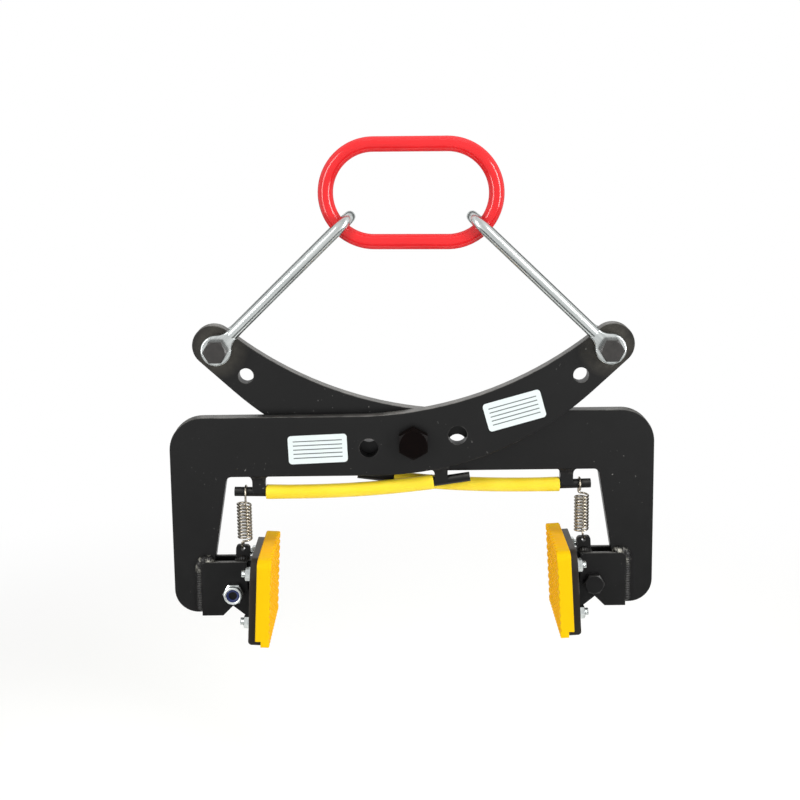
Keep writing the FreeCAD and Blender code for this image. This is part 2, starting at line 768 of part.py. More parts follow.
def make_label(centre, tilt):
    """A thin label plate on the front face of the front arm."""
    half_width = label_width / 2
    half_height = label_height / 2
    wire = outline([
        (Vector(-half_width, 0, -half_height), label_corner_radius),
        (Vector(half_width, 0, -half_height), label_corner_radius),
        (Vector(half_width, 0, half_height), label_corner_radius),
        (Vector(-half_width, 0, half_height), label_corner_radius),
    ])
    label = slab(wire, -label_thickness, label_thickness)
    label.rotate(origin, y_axis, tilt)
    label.translate(at(centre[0], centre[1], front_face_y))
    return label


def save_pair(front_name, back_name, shape):
    """A piece of the front arm's side, and the same piece on the back arm."""
    save(front_name, shape)
    save(back_name, half_turn(shape))


os.makedirs("parts", exist_ok=True)

save("master_link", make_master_link())
save_pair("right_shackle", "left_shackle", make_shackle())
for side, x, y in (("left", -horn_reach, arm_y), ("right", horn_reach, -arm_y)):
    shackle_bolt, shackle_nut = make_shackle_fasteners(x, y)
    save(side + "_shackle_bolt", shackle_bolt)
    save(side + "_shackle_nut", shackle_nut)

front_arm = make_arm()
save_pair("front_arm", "back_arm", front_arm)
pivot_bolt, pivot_washer, pivot_nut = make_pivot_fasteners()
save("pivot_bolt", pivot_bolt)
save("pivot_washer", pivot_washer)
save("pivot_nut", pivot_nut)

leg_back_y = front_face_y + plate_thickness
save_pair("left_front_cheek", "right_rear_cheek", make_cheek(front_face_y - cheek_thickness))
save_pair("left_rear_cheek", "right_front_cheek", make_cheek(leg_back_y))
bracket_welds = [make_weld(front_face_y, -1), make_weld(leg_back_y, 1)]
save_pair("left_bracket_welds", "right_bracket_welds", Part.makeCompound(bracket_welds))

jaw_bolt, jaw_nut, jaw_nut_insert = make_jaw_fasteners()
save_pair("left_jaw_bolt", "right_jaw_bolt", jaw_bolt)
save_pair("left_jaw_nut", "right_jaw_nut", jaw_nut)
save_pair("left_jaw_nut_insert", "right_jaw_nut_insert", jaw_nut_insert)

save_pair("left_knuckle", "right_knuckle", make_knuckle())
save_pair("left_spring_tab", "right_spring_tab", make_spring_tab())
save_pair("left_pad_holder", "right_pad_holder", make_holder())
save_pair("left_grip_pad", "right_grip_pad", make_pad())
save_pair("left_pad_studs", "right_pad_studs", Part.makeCompound(make_studs()))
save_pair("left_pad_nuts", "right_pad_nuts", Part.makeCompound(make_stud_nuts()))
save_pair("left_spring", "right_spring", make_spring())

hose_points, hose_radius = hose_route()
outer_peg = make_peg(hose_points[0], hose_points[1], -outer_stub_reach, -outer_peg_reach, front_arm)
inner_peg = make_peg(hose_points[2], hose_points[1], inner_stub_reach, inner_peg_reach, front_arm)
save_pair("front_outer_peg", "back_outer_peg", outer_peg)
save_pair("front_inner_peg", "back_inner_peg", inner_peg)
save_pair("front_hose", "back_hose", make_hose())

save("name_label", make_label(name_label_centre, name_label_tilt))
save("notice_label", make_label(notice_label_centre, notice_label_tilt))

print("pivot height", round(pivot_z, 3), "arm middle", round(arm_y, 3), "horn bolt height", round(horn_z, 3))
print("link half length", link_half, "link centre height", link_centre_z, "link yaw", round(link_yaw, 3))
print("shackle angle", round(math.degrees(shackle_angle), 3), "swing length", round(swing_length, 3))
print("jaw bolt height", round(pivot_z - jaw_drop, 3))
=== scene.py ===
# %% [markdown]
# # Lifting tongs for stone blocks
# Two crossed plate arms hang by shackles from an oblong link and press two grip pads on a block. The solids
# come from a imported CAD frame, at real size and in place. This lesson gives them their finish and makes the
# pieces that need a surface of their own: hoses, springs, grip pads with their holders and spring tabs,
# weld beads, bolt threads, and the collars and lips of the locking nuts. Shapes are worked out in
# millimetres in the frame's axes: X to the right, Y to the back, Z up.

# %% Load the frame
import json
import math
from functools import partial

import bmesh
import bpy
import numpy as np
from mathutils import Matrix, Vector

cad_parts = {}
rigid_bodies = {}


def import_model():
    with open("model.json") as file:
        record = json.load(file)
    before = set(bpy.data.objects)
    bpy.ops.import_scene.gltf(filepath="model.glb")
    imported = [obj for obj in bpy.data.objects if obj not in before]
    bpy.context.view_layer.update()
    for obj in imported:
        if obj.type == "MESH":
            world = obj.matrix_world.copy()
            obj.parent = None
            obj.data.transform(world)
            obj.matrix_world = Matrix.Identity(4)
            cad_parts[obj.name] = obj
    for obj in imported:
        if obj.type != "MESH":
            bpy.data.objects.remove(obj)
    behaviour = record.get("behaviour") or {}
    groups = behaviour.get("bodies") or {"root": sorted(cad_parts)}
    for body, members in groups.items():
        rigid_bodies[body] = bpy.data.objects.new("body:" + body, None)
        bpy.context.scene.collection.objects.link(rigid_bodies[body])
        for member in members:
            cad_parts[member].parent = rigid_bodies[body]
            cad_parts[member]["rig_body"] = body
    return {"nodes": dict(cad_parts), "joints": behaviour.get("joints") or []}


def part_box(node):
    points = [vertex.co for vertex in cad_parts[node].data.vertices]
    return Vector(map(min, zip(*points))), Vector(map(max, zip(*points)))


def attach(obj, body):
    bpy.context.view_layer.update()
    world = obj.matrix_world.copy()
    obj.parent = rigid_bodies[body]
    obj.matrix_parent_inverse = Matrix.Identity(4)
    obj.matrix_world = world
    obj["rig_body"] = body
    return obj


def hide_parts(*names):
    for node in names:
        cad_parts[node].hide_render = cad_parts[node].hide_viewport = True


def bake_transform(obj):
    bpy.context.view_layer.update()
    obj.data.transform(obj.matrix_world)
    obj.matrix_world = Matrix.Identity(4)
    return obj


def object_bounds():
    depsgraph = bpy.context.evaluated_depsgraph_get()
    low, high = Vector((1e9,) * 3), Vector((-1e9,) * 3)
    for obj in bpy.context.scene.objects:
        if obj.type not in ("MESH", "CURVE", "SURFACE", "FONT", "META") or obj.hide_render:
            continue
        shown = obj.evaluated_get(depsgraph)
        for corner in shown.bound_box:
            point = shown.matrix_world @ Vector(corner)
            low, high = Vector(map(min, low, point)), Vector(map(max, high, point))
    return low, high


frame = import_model()
nodes = frame["nodes"]
cad_low, cad_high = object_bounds()
joint_places = {joint["name"]: joint["pos_m"] for joint in frame["joints"]}
scene = bpy.context.scene
mm = 0.001
sides = ("left", "right")
arms = ("front_arm", "back_arm")
jaws = ("left_jaw", "right_jaw")


def box_mm(node):
    """Lowest and highest corner of a CAD node, in millimetres."""
    low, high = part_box(node)
    return np.array(low) / mm, np.array(high) / mm


print(len(nodes), "CAD nodes in a box of", [round(side / mm, 1) for side in cad_high - cad_low], "mm")

# %% [markdown]
# ## The camera
# The photograph looks at the tongs from the front, a little from above, and upright edges stay almost
# upright. A tilted camera draws upright edges together, and a lens shift keeps them apart, as a view camera
# does. A small shift and a small tilt together come close to the photograph and keep the other views
# centred.

# %% Place the camera
lens_length = 57.0
lens_shift = -0.13
film_width = 36.0
camera_place = Vector((-8.9, -1052.9, 38.7)) * mm
look_down = math.radians(8.6)
look_left = math.radians(0.045)
camera_roll = math.radians(-0.698)

camera = bpy.data.objects.new("camera", bpy.data.cameras.new("camera"))
scene.collection.objects.link(camera)
camera.data.lens = lens_length
camera.data.sensor_width = film_width
camera.data.shift_y = lens_shift
turn = Matrix.Rotation(look_left, 4, "Z") @ Matrix.Rotation(math.pi / 2 - look_down, 4, "X")
camera.matrix_world = Matrix.Translation(camera_place) @ turn @ Matrix.Rotation(camera_roll, 4, "Z")
scene.camera = camera
print("camera with a lens of", lens_length, "mm")

# %% [markdown]
# ## From arrays to meshes
# Each new piece is a grid of points: rings of the same count, one after the other. A helper joins
# neighbouring rings with four-sided faces, so a shape is only a formula for its points. The faces of a
# closed shell are then turned outwards, and edges sharper than a limit stay crisp. Both arms are one shape,
# so a piece made for the front arm or the left jaw is copied by half a turn about the upright axis.

# %% Helpers for surfaces
crisp_angle = math.radians(40)
quarter = np.linspace(0, np.pi / 2, 5)
to_front = np.array([0.0, -1.0, 0.0])
down = np.array([0.0, 0.0, -1.0])


def unit(vectors):
    """Each vector divided by its own length."""
    return vectors / np.linalg.norm(vectors, axis=-1, keepdims=True)


def ring_shell(points, closed=False):
    """A grid of closed rings as points, four-sided faces and caps.
    A closed grid joins its last ring to its first."""
    rows, columns = points.shape[:2]
    row = np.arange(rows if closed else rows - 1)[:, None]
    column = np.arange(columns)[None, :]
    next_row = (row + 1) % rows
    next_column = (column + 1) % columns
    corners = (row * columns + column, row * columns + next_column,
               next_row * columns + next_column, next_row * columns + column)
    quads = np.stack(np.broadcast_arrays(*corners), -1).reshape(-1, 4)
    ends = [] if closed else [np.arange(columns), np.arange(columns) + (rows - 1) * columns]
    return points.reshape(-1, 3), quads, ends


def add_piece(name, shells, finish):
    """Joins closed shells, in millimetres, into one object that sits at the origin, in metres.
    Four-sided faces are shaded smooth, and caps stay flat."""
    faces = []
    start = 0
    for shell_points, quads, ends in shells:
        faces += (quads + start).tolist()
        faces += [(end + start).tolist() for end in ends]
        start += len(shell_points)
    points = np.concatenate([shell[0] for shell in shells])
    mesh = bpy.data.meshes.new(name)
    mesh.from_pydata((points * mm).tolist(), [], faces)
    builder = bmesh.new()
    builder.from_mesh(mesh)
    bmesh.ops.recalc_face_normals(builder, faces=builder.faces[:])
    builder.to_mesh(mesh)
    builder.free()
    mesh.shade_smooth()
    mesh.set_sharp_from_angle(angle=crisp_angle)
    corner_counts = np.empty(len(mesh.polygons), np.int32)
    mesh.polygons.foreach_get("loop_total", corner_counts)
    mesh.polygons.foreach_set("use_smooth", corner_counts == 4)
    mesh.materials.append(finish)
    piece = bpy.data.objects.new(name, mesh)
    scene.collection.objects.link(piece)
    print(name, len(points), "points")
    return piece


def half_turn(points):
    """The same points on the other arm: half a turn about the upright axis changes the sign of X and Y."""
    return points * np.array([-1.0, -1.0, 1.0])


def moved(shells, move):
    """The same shells with their points moved by a function."""
    return [(move(points), quads, ends) for points, quads, ends in shells]


def add_pair(starts, part, shells, finish, bodies, replaced=None):
    """A piece and its copy half a turn on.
    Each is named by its start, rides a body and may replace a CAD node."""
    pair = []
    for start, placed, body in zip(starts, (shells, moved(shells, half_turn)), bodies):
        piece = add_piece(start + part, placed, finish)
        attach(piece, body)
        if replaced:
            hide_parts(start + replaced)
        pair.append(piece)
    return pair


def travel_along(path):
    """The way travelled along a path up to each of its points."""
    return np.concatenate([[0], np.cumsum(np.linalg.norm(np.diff(path, axis=0), axis=1))])


def directions(path):
    """The unit direction of a path at each of its points."""
    return unit(np.gradient(path, axis=0))


def circle(count):
    """Points of a unit circle, evenly spread."""
    angle = np.linspace(0, 2 * np.pi, count, endpoint=False)
    return np.stack([np.cos(angle), np.sin(angle)], -1)


def sweep(path, along, radius, columns, across):
    """A round tube: each path point plus its radius times a unit circle square to the path.
    The circle's first axis is the path's direction crossed with the vector across.
    The second is square to both. The radius is one number, a column of them or a whole grid."""
    along = np.broadcast_to(along, path.shape)
    side = unit(np.cross(along, across))
    other = np.cross(along, side)
    ring = circle(columns)
    offset = ring[None, :, :1] * side[:, None] + ring[None, :, 1:] * other[:, None]
    return path[:, None] + offset * np.asarray(radius)[..., None]


print("surface helpers ready")

# %% [markdown]
# ## Colours and nodes
# Colours are written as on a screen, in sRGB, and a shader wants linear light, so one function turns them.
# A pattern's scale is one over its feature size, because Object coordinates are metres on these pieces.
# Every finish is a small graph: coordinates, one or two noises, a mix of colours, and a bump. Many differ
# only in their numbers: a tone that drifts between two colours, a roughness that goes with it, and a finer
# grain. Worn ones get layers on top: a colour each, where a few masks agree.

# %% Helpers for finishes
def linear(colour):
    """An sRGB hex colour as linear light: c / 12.92 near black, else ((c + 0.055) / 1.055) ** 2.4."""
    parts = np.array([int(colour[i:i + 2], 16) for i in (1, 3, 5)]) / 255
    light = np.where(parts <= 0.04045, parts / 12.92, ((parts + 0.055) / 1.055) ** 2.4)
    return (*light.tolist(), 1.0)


def per(size):
    """The scale of a pattern whose features are this many millimetres across."""
    return 1 / (size * mm)


def add_node(tree, kind, inputs, **settings):
    """Adds one node with its settings. Each input is set to a value or linked to an output.
    A node given as an input stands for its first output in use."""
    node = tree.nodes.new("ShaderNode" + kind)
    for key, value in settings.items():
        setattr(node, key, value)
    for key, source in inputs.items():
        if isinstance(source, bpy.types.Node):
            source = next(output for output in source.outputs if output.enabled)
        if isinstance(source, bpy.types.NodeSocket):
            tree.links.new(source, node.inputs[key])
        else:
            node.inputs[key].default_value = source
    return node


def start_finish(name):
    """An empty material, the function that adds a node to it, and its Object coordinates."""
    finish = bpy.data.materials.new(name)
    finish.use_nodes = True
    finish.node_tree.nodes.clear()
    add = partial(add_node, finish.node_tree)
    print("finish", name)
    return finish, add, add("TexCoord", {}).outputs["Object"]


def end_finish(add, **inputs):
    """Gives a finish its Principled shader, with a value or a link for each named input, and its output."""
    shader = add("BsdfPrincipled", {key.replace("_", " "): value for key, value in inputs.items()})
    add("OutputMaterial", {"Surface": shader})


def add_grain(add, place, size, detail, strength, depth):
    """A bump from a fine noise, with the size and the depth of its grains in millimetres."""
    grain = add("TexNoise", {"Vector": place, "Scale": per(size), "Detail": detail})
    return add("Bump", {"Height": grain, "Strength": strength, "Distance": depth * mm})


def cloudy_finish(name, dark, light, cloud_size, cloud_detail, rough_range=None, grain=None, **inputs):
    """A tone that drifts between two colours in clouds.
    Where given, it has a range of roughness that goes with the clouds, and a finer grain."""
    finish, add, place = start_finish(name)
    cloud = add("TexNoise", {"Vector": place, "Scale": per(cloud_size), "Detail": cloud_detail})
    tint = add("Mix", {0: cloud, 6: linear(dark), 7: linear(light)}, data_type="RGBA")
    if rough_range:
        low, high = rough_range
        inputs["Roughness"] = add("MapRange", {"Value": cloud, "To Min": low, "To Max": high})
    if grain:
        inputs["Normal"] = add_grain(add, place, **grain)
    end_finish(add, Base_Color=tint, **inputs)
    return finish


def add_layers(add, tint, layers):
    """Lays colours over a tint, one after the other. A layer is a colour, and masks multiplied together.
    A mask is a source, the two values it is read between, and the shares it gives at these."""
    for colour, *masks in layers:
        share = 1.0
        for source, (first, last), (low, high) in masks:
            mask = add("MapRange", {
                "Value": source, "From Min": first, "From Max": last, "To Min": low, "To Max": high})
            share = add("Math", {0: share, 1: mask}, operation="MULTIPLY")
        tint = add("Mix", {0: share, 6: tint, 7: linear(colour)}, data_type="RGBA")
    return tint


print("finish helpers ready")

# %% [markdown]
# ## Hoses
# Each arm carries two pegs, and a yellow polyurethane hose is pushed over them as a soft handle. The hose
# bends gently between its pegs. Its line is a NURBS spline that starts and ends on the pegs and is drawn
# towards one point between them, so it is smooth by itself, and a tube with a bore is carried along that
# line. The wall stretches a little where a peg is inside, and the cut ends are slightly rounded.

# %% Make the hoses
hose_route = np.array([
    (-0.126, -0.0062, -0.287438),
    (-0.046, -0.0062, -0.289038),
    (0.017, -0.0062, -0.280338),
])
spline_order = 3
spline_steps = 64
hose_radius = 6.0
hose_bore_radius = 4.15
hose_swell = 0.25
hose_swell_length = 20.0
hose_lip = 0.6
hose_rings = 90
hose_columns = 40

# Extruded polyurethane tube: smooth and slightly see-through, with a soft gloss and a faintly cloudy yellow.
hose_finish = cloudy_finish(
    "translucent_polyurethane", "#F3D026", "#FBE146", cloud_size=22, cloud_detail=3.0,
    grain={"size": 3, "detail": 2.0, "strength": 0.15, "depth": 0.1},
    Roughness=0.34, Specular_IOR_Level=0.25,
    Subsurface_Weight=0.25, Subsurface_Scale=0.002, Subsurface_Radius=(1.0, 0.7, 0.15))


def spline_points(route):
    """Points along a NURBS spline that starts and ends on the route's ends, in millimetres."""
    curve = bpy.data.curves.new("route", "CURVE")
    curve.dimensions = "3D"
    spline = curve.splines.new("NURBS")
    spline.points.add(len(route) - 1)
    spline.points.foreach_set("co", np.column_stack([route, np.ones(len(route))]).ravel())
    spline.order_u = spline_order
    spline.use_endpoint_u = True
    spline.resolution_u = spline_steps
    carrier = bpy.data.objects.new("route", curve)
    line = bpy.data.meshes.new_from_object(carrier)
    points = np.empty(len(line.vertices) * 3)
    line.vertices.foreach_get("co", points)
    bpy.data.objects.remove(carrier)
    bpy.data.meshes.remove(line)
    bpy.data.curves.remove(curve)
    return points.reshape(-1, 3) / mm


def hose_grid(path):
    """The outer wall from mouth to mouth and the bore back again, one closed loop of rings.
    The outer radius swells over each peg by a smooth step, and each lip is a quarter round."""
    travel = travel_along(path)
    length = travel[-1]
    lip_travel = hose_lip * (1 - np.sin(quarter))[::-1]
    lip_radius = hose_radius + hose_swell - hose_lip * (1 - np.cos(quarter))[::-1]
    middle = np.linspace(hose_lip, length - hose_lip, hose_rings)[1:-1]
    near_end = np.clip(np.minimum(middle, length - middle) / hose_swell_length, 0, 1)
    swell = hose_swell * (1 - near_end ** 2 * (3 - 2 * near_end))
    outer_travel = np.concatenate([lip_travel, middle, length - lip_travel[::-1]])
    outer_radius = np.concatenate([lip_radius, hose_radius + swell, lip_radius[::-1]])
    inner_travel = np.linspace(length, 0, hose_rings)
    travels = np.concatenate([outer_travel, inner_travel])
    radii = np.concatenate([outer_radius, np.full(hose_rings, hose_bore_radius)])
    centre, along = [
        np.stack([np.interp(travels, travel, column) for column in values.T], -1)
        for values in (path, directions(path))]
    return sweep(centre, unit(along), radii[:, None], hose_columns, (0, 1, 0))


hose_shells = [ring_shell(hose_grid(spline_points(hose_route)), closed=True)]
add_pair(("front", "back"), "_hose_tube", hose_shells, hose_finish, arms, "_hose")

# %% [markdown]
# ## Springs
# An extension spring hangs between the outer peg and a tab on each jaw, and holds the jaw up. Its wire is one
# path: a hook over the peg, a short lead, a helix, and a hook through the tab. Each stretch is a circle or a
# helix formula, and the stretches are joined end to end before a round section is carried along.

# %% Make the springs
wire_radius = 0.9
wire_columns = 12
spring_bend = 2.0
spring_lead = 7.5
spring_turns = 11
steps_per_turn = 40
lead_steps = 5
# Angles along the hook on the peg, the hook in the tab, and a bend.
peg_hook = np.radians(np.linspace(-45, 180, 44))
tab_hook = np.radians(np.linspace(180, 340, 32))[1:]
wire_bend = np.radians(np.linspace(0, 90, 10))[1:]

# Zinc-plated spring wire: bright drawn metal, mottled from a warm grey to a pale warm white.
spring_finish = cloudy_finish(
    "zinc_plated_spring_wire", "#5F584D", "#C6BEAE", cloud_size=2.5, cloud_detail=4.0,
    rough_range=(0.15, 0.34), Metallic=1.0)


def spring_path(low, high):
    """The wire of the left spring, fitted in its box, from the hook on the peg to the hook in the tab.
    Hooks are circles in an upright plane, bends are quarter circles, and the coil is an even helix.
    Each later stretch leaves out its first point, where the one before it ended."""
    x, y = ((low + high) / 2)[:2]
    radius = (high[0] - low[0]) / 2 - wire_radius
    hook_z = high[2] - wire_radius - radius
    eye_z = low[2] + wire_radius + radius
    top = hook_z - spring_lead - spring_bend
    bottom = eye_z + spring_bend
    coil = np.linspace(0, 2 * np.pi * spring_turns, steps_per_turn * spring_turns + 1)[1:]
    lead = np.linspace(hook_z, top + spring_bend, lead_steps)[1:]
    stretches = [
        (x + spring_bend, y + radius * np.cos(peg_hook), hook_z + radius * np.sin(peg_hook)),
        (x + spring_bend, y - radius, lead),
        (x + spring_bend * np.cos(wire_bend), y - radius, top + spring_bend * (1 - np.sin(wire_bend))),
        (x - radius * np.sin(coil), y - radius * np.cos(coil), top + (bottom - top) * coil / coil[-1]),
        (x - spring_bend * np.sin(wire_bend), y - radius, bottom - spring_bend * (1 - np.cos(wire_bend))),
        (x - spring_bend, y + radius * np.cos(tab_hook), eye_z + radius * np.sin(tab_hook)),
    ]
    path = np.concatenate([np.stack(np.broadcast_arrays(*stretch), -1) for stretch in stretches])
    return path, np.array([x, y, top]), np.array([x, y, bottom])


wire_path, coil_top, coil_bottom = spring_path(*box_mm("left_spring"))
wire_grid = sweep(wire_path, directions(wire_path), wire_radius, wire_columns, (1, 1, 1))
for side, arm, jaw, move in zip(sides, arms, jaws, (np.array, half_turn)):
    spring = add_piece(side + "_spring_coil", [ring_shell(move(wire_grid))], spring_finish)
    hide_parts(side + "_spring")
    start = move(coil_top) * mm
    end = move(coil_bottom) * mm
    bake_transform(spring)

# %% [markdown]
# ## Grip pads
# The pads are moulded yellow polyurethane with rows of low knobs that bite on stone, and a notch at the
# foot where the holder's lip carries them. A pad is one outline carried across its width: the outline's
# front line rises and falls with the knobs, so the whole tread is a formula of two places, up the pad and
# across it. Each knob is the product of two rounded steps, which gives a soft corner on all four sides. The
# grooves grow shallow towards the ends, and the upper corners are rounded by letting the top fall along a
# quarter circle.

# %% The pad finish
def pad_polyurethane():
    """Cast polyurethane rubber: satin orange-yellow. The end faces, and the top near them, are painted a
    brighter yellow as painted light, and the low places between the knobs are painted browner as painted
    shade."""
    finish, add, place = start_finish("cast_polyurethane")
    cloud = add("TexNoise", {"Vector": place, "Scale": per(16), "Detail": 4.0})
    pad_tint = add("Mix", {0: cloud, 6: linear("#F0AE12"), 7: linear("#F8BC1E")}, data_type="RGBA")
    end_face = add("Attribute", {}, attribute_name="end_face").outputs["Fac"]
    rise = add("Attribute", {}, attribute_name="knob_rise").outputs["Fac"]
    tint = add_layers(add, pad_tint, (
        # Painted light: the end faces, and the top near them, are painted a brighter yellow.
        ("#E9BD0A", (end_face, (0, 1), (0, 1))),
        # Painted shade: the low places between the knobs are painted browner.
        ("#C4820A", (rise, (1, 0), (0, 0.4))),
    ))
    rough = add("MapRange", {"Value": cloud, "To Min": 0.45, "To Max": 0.65})
    bump = add_grain(add, place, size=0.8, detail=3.0, strength=0.25, depth=0.1)
    end_finish(add, Base_Color=tint, Roughness=rough, Normal=bump, Specular_IOR_Level=0.06,
               Subsurface_Weight=0.12, Subsurface_Scale=0.002, Subsurface_Radius=(1.0, 0.5, 0.1))
    return finish


pad_finish = pad_polyurethane()

# %% Make the grip pads
jaw_tilt = math.radians(3.0)
pad_back = 22.0
pad_base = 10.0
knob_height = 2.0
knob_pitch = 7.1
groove_width = 5.0
groove_end_share = 0.4
pad_top = 39.5
pad_foot = -35.5
pad_half_width = 42.0
notch_depth = 4.65
notch_top = -30.5
pad_edge = 0.9
pad_corner = 7.0
# Reach along the top from each end over which the painted light of the end faces fades out.
painted_light_reach = 25.0
steps_per_knob = 9


def seat(points):
    """Places inwards, across and up from the jaw bolt as places of the left jaw: a tilt, then a move."""
    inwards, across, up = np.moveaxis(points, -1, 0)
    x = inwards * math.cos(jaw_tilt) + up * math.sin(jaw_tilt)
    z = up * math.cos(jaw_tilt) - inwards * math.sin(jaw_tilt)
    return np.stack([x, across, z], -1) + np.array(joint_places["left_jaw_tilt"]) / mm


def knob_step(place, low, high):
    """A row of knobs along one line: 0 in a groove, 1 on a knob, joined by half a cosine wave."""
    count = round((high - low) / knob_pitch)
    turn = (place - low) / (high - low) * count
    groove = np.clip(np.round(turn), 1, count - 1)
    distance = np.abs(turn - groove) * (high - low) / count
    return (1 - np.cos(np.pi * np.clip(2 * distance / groove_width, 0, 1))) / 2


def pad_shell():
    """The left pad as rings, one for each place across, and each point's rise on its knob.
    A ring runs up the tread, over the top, down the back, round the lip's notch and along the foot."""
    rows = round(2 * pad_half_width / knob_pitch) * steps_per_knob + 1
    columns = round((pad_top - pad_foot) / knob_pitch) * steps_per_knob + 1
    across = np.linspace(-pad_half_width + pad_edge, pad_half_width - pad_edge, rows)[:, None]
    up = np.linspace(pad_foot + pad_edge, pad_top - pad_edge, columns)[None, :]
    depth_share = np.clip((pad_half_width - np.abs(across)) / knob_pitch, groove_end_share, 1)
    rise = knob_step(across, -pad_half_width, pad_half_width) * knob_step(up, pad_foot, pad_top)
    rise = 1 - (1 - rise) * depth_share
    tread = pad_back + pad_base + knob_height * rise
    draw_back = pad_edge * (1 - np.cos(quarter[None, 1:]))
    draw_in = pad_edge * (1 - np.sin(quarter[None, 1:]))
    notch = pad_back + notch_depth
    back = np.tile([pad_back + pad_edge, pad_back, pad_back, notch, notch], (rows, 1))
    back_up = np.array([[pad_top, pad_top - pad_edge, notch_top, notch_top, pad_foot]])
    inwards = np.hstack([tread, tread[:, -1:] - draw_back, back, (tread[:, :1] - draw_back)[:, ::-1]])
    ups = np.hstack([up, pad_top - draw_in, back_up, (pad_foot + draw_in)[:, ::-1]])
    rises = np.hstack([rise, np.ones((rows, inwards.shape[1] - columns))])
    return np.stack(np.broadcast_arrays(inwards, across, ups), -1), rises


def round_ends(rings, rises):
    """Adds rings at both ends that draw in by a quarter round, along the outline's own inward normal."""
    draw = pad_edge * (1 - np.cos(quarter[1:]))[:, None, None]
    reach = pad_edge * np.sin(quarter[1:])[:, None, None]
    extras = []
    for end, sign in ((0, -1), (-1, 1)):
        edge = np.roll(rings[end], -1, axis=0) - np.roll(rings[end], 1, axis=0)
        inward = unit(np.stack([-edge[:, 2], np.zeros(len(edge)), edge[:, 0]], -1))
        extras.append(rings[end] + inward * draw + np.array([0, sign, 0]) * reach)
    first, last = extras
    full = np.ones(first.shape[:2])
    return np.concatenate([first[::-1], rings, last]), np.concatenate([full, rises, full])


def round_corners(rings, half_width, top, radius):
    """Rounds both upper corners: near an end the top falls by R - square root of (R squared - d squared).
    The height within two radii of the top is squeezed evenly, so that the knobs stay on the tread."""
    reach = np.clip((np.abs(rings[..., 1]) - half_width + radius) / radius, 0, 1)
    fall = radius * (1 - np.sqrt(1 - reach ** 2))
    share = np.clip((rings[..., 2] - top) / (2 * radius) + 1, 0, 1)
    return rings - np.stack([0 * fall, 0 * fall, fall * share], -1)


pad_grid, pad_rise = round_ends(*pad_shell())
from_end = pad_half_width - np.abs(pad_grid[..., 1])
on_top = pad_grid[..., 2] > pad_top - pad_edge / 2
# Share of painted light at each point: full on the end faces, and fading along the top within a reach of each
# end.
painted_end_light = np.where(from_end < pad_edge, 1.0, on_top * np.clip(1 - from_end / painted_light_reach, 0, 1))
pad_shells = [ring_shell(seat(round_corners(pad_grid, pad_half_width, pad_top, pad_corner)))]
for pad in add_pair(sides, "_pad_block", pad_shells, pad_finish, jaws, "_grip_pad"):
    for name, shares in (("knob_rise", pad_rise), ("end_face", painted_end_light)):
        attribute = pad.data.attributes.new(name, "FLOAT", "POINT")
        attribute.data.foreach_set("value", shares.ravel().astype(np.float32))

# %% [markdown]
# ## Weld beads
# Cheek plates, lugs, tabs and pegs are welded on. A weld bead is a quarter of an ellipse that fills a
# corner, carried along the corner's root. The welder's steps leave ripples about two millimetres apart, and
# the bead fades at its ends. The ripples show from a step away, so they are in the mesh and not only in the
# finish.

# %% The weld finish
bare_height = box_mm("left_front_cheek")[1][2]
bare_full = 2.0
bare_reach = 11.0
least_bare = 0.04


def weld_steel(name, bare_share):
    """Arc weld under thin paint: dark grey, with up to this share of bare steel near the cheeks' top."""
    finish, add, place = start_finish(name)
    cloud = add("TexNoise", {"Vector": place, "Scale": per(5), "Detail": 5.0})
    rubbed = add("MapRange", {"Value": cloud, "From Min": 0.5, "From Max": 0.66})
    height = add("SeparateXYZ", {"Vector": place}).outputs["Z"]
    above = add("Math", {0: height, 1: bare_height * mm}, operation="SUBTRACT")
    distance = add("Math", {0: above}, operation="ABSOLUTE")
    near = add("MapRange", {"Value": distance, "From Min": bare_reach * mm, "From Max": bare_full * mm,
                            "To Min": least_bare, "To Max": bare_share})
    bare = add("Math", {0: rubbed, 1: near}, operation="MULTIPLY")
    tint = add("Mix", {0: bare, 6: linear("#0E0D0D"), 7: linear("#ABA99F")}, data_type="RGBA")
    bump = add_grain(add, place, size=1.2, detail=3.0, strength=0.4, depth=0.2)
    end_finish(add, Base_Color=tint, Metallic=bare, Normal=bump, Roughness=0.42, Specular_IOR_Level=0.3)
    return finish


weld_finish = weld_steel("rubbed_weld_steel", bare_share=0.8)
covered_finish = weld_steel("painted_weld_steel", bare_share=0.1)

# %% Make the bracket beads
ripple_pitch = 2.1
ripple_share = 0.07
ripple_lag = 1.1
bead_fade = 3.0
bead_end_share = 0.05
bead_arc = np.radians(np.linspace(0, 90, 9))
bead_step = 0.35
bead_root = 0.35
bracket_corner = 4.0
bracket_bead_foot = 3.0
bracket_bead_top = 11.5
bracket_bead_width = 5.0


def bead_shell(path, out, rise, width, height, closed=False, hollow=False):
    """A bead along the root path: a quarter ellipse from width along out to height along rise, and the root.
    It bulges out, or in where hollow. Its size swells and shrinks by a sine of the travel, lagging towards
    the crown, and fades at open ends."""
    out, rise, path = np.broadcast_arrays(out, rise, path)
    travel = travel_along(path)[:, None]
    ripple = 1 + ripple_share * np.sin(2 * np.pi * travel / ripple_pitch + ripple_lag * np.sin(bead_arc))
    from_end = np.minimum(travel, travel[-1] - travel)
    fade = 1 if closed else np.sqrt(np.clip(from_end / bead_fade, bead_end_share, 1))
    size = (ripple * fade)[..., None]
    out_share = 1 - np.sin(bead_arc) if hollow else np.cos(bead_arc)
    rise_share = 1 - np.cos(bead_arc) if hollow else np.sin(bead_arc)
    crown = path[:, None] + size * (out[:, None] * width * out_share[:, None]
                                    + rise[:, None] * height * rise_share[:, None])
    root = (path - (out + rise) * bead_root)[:, None]
    return ring_shell(np.concatenate([crown, root], axis=1), closed)


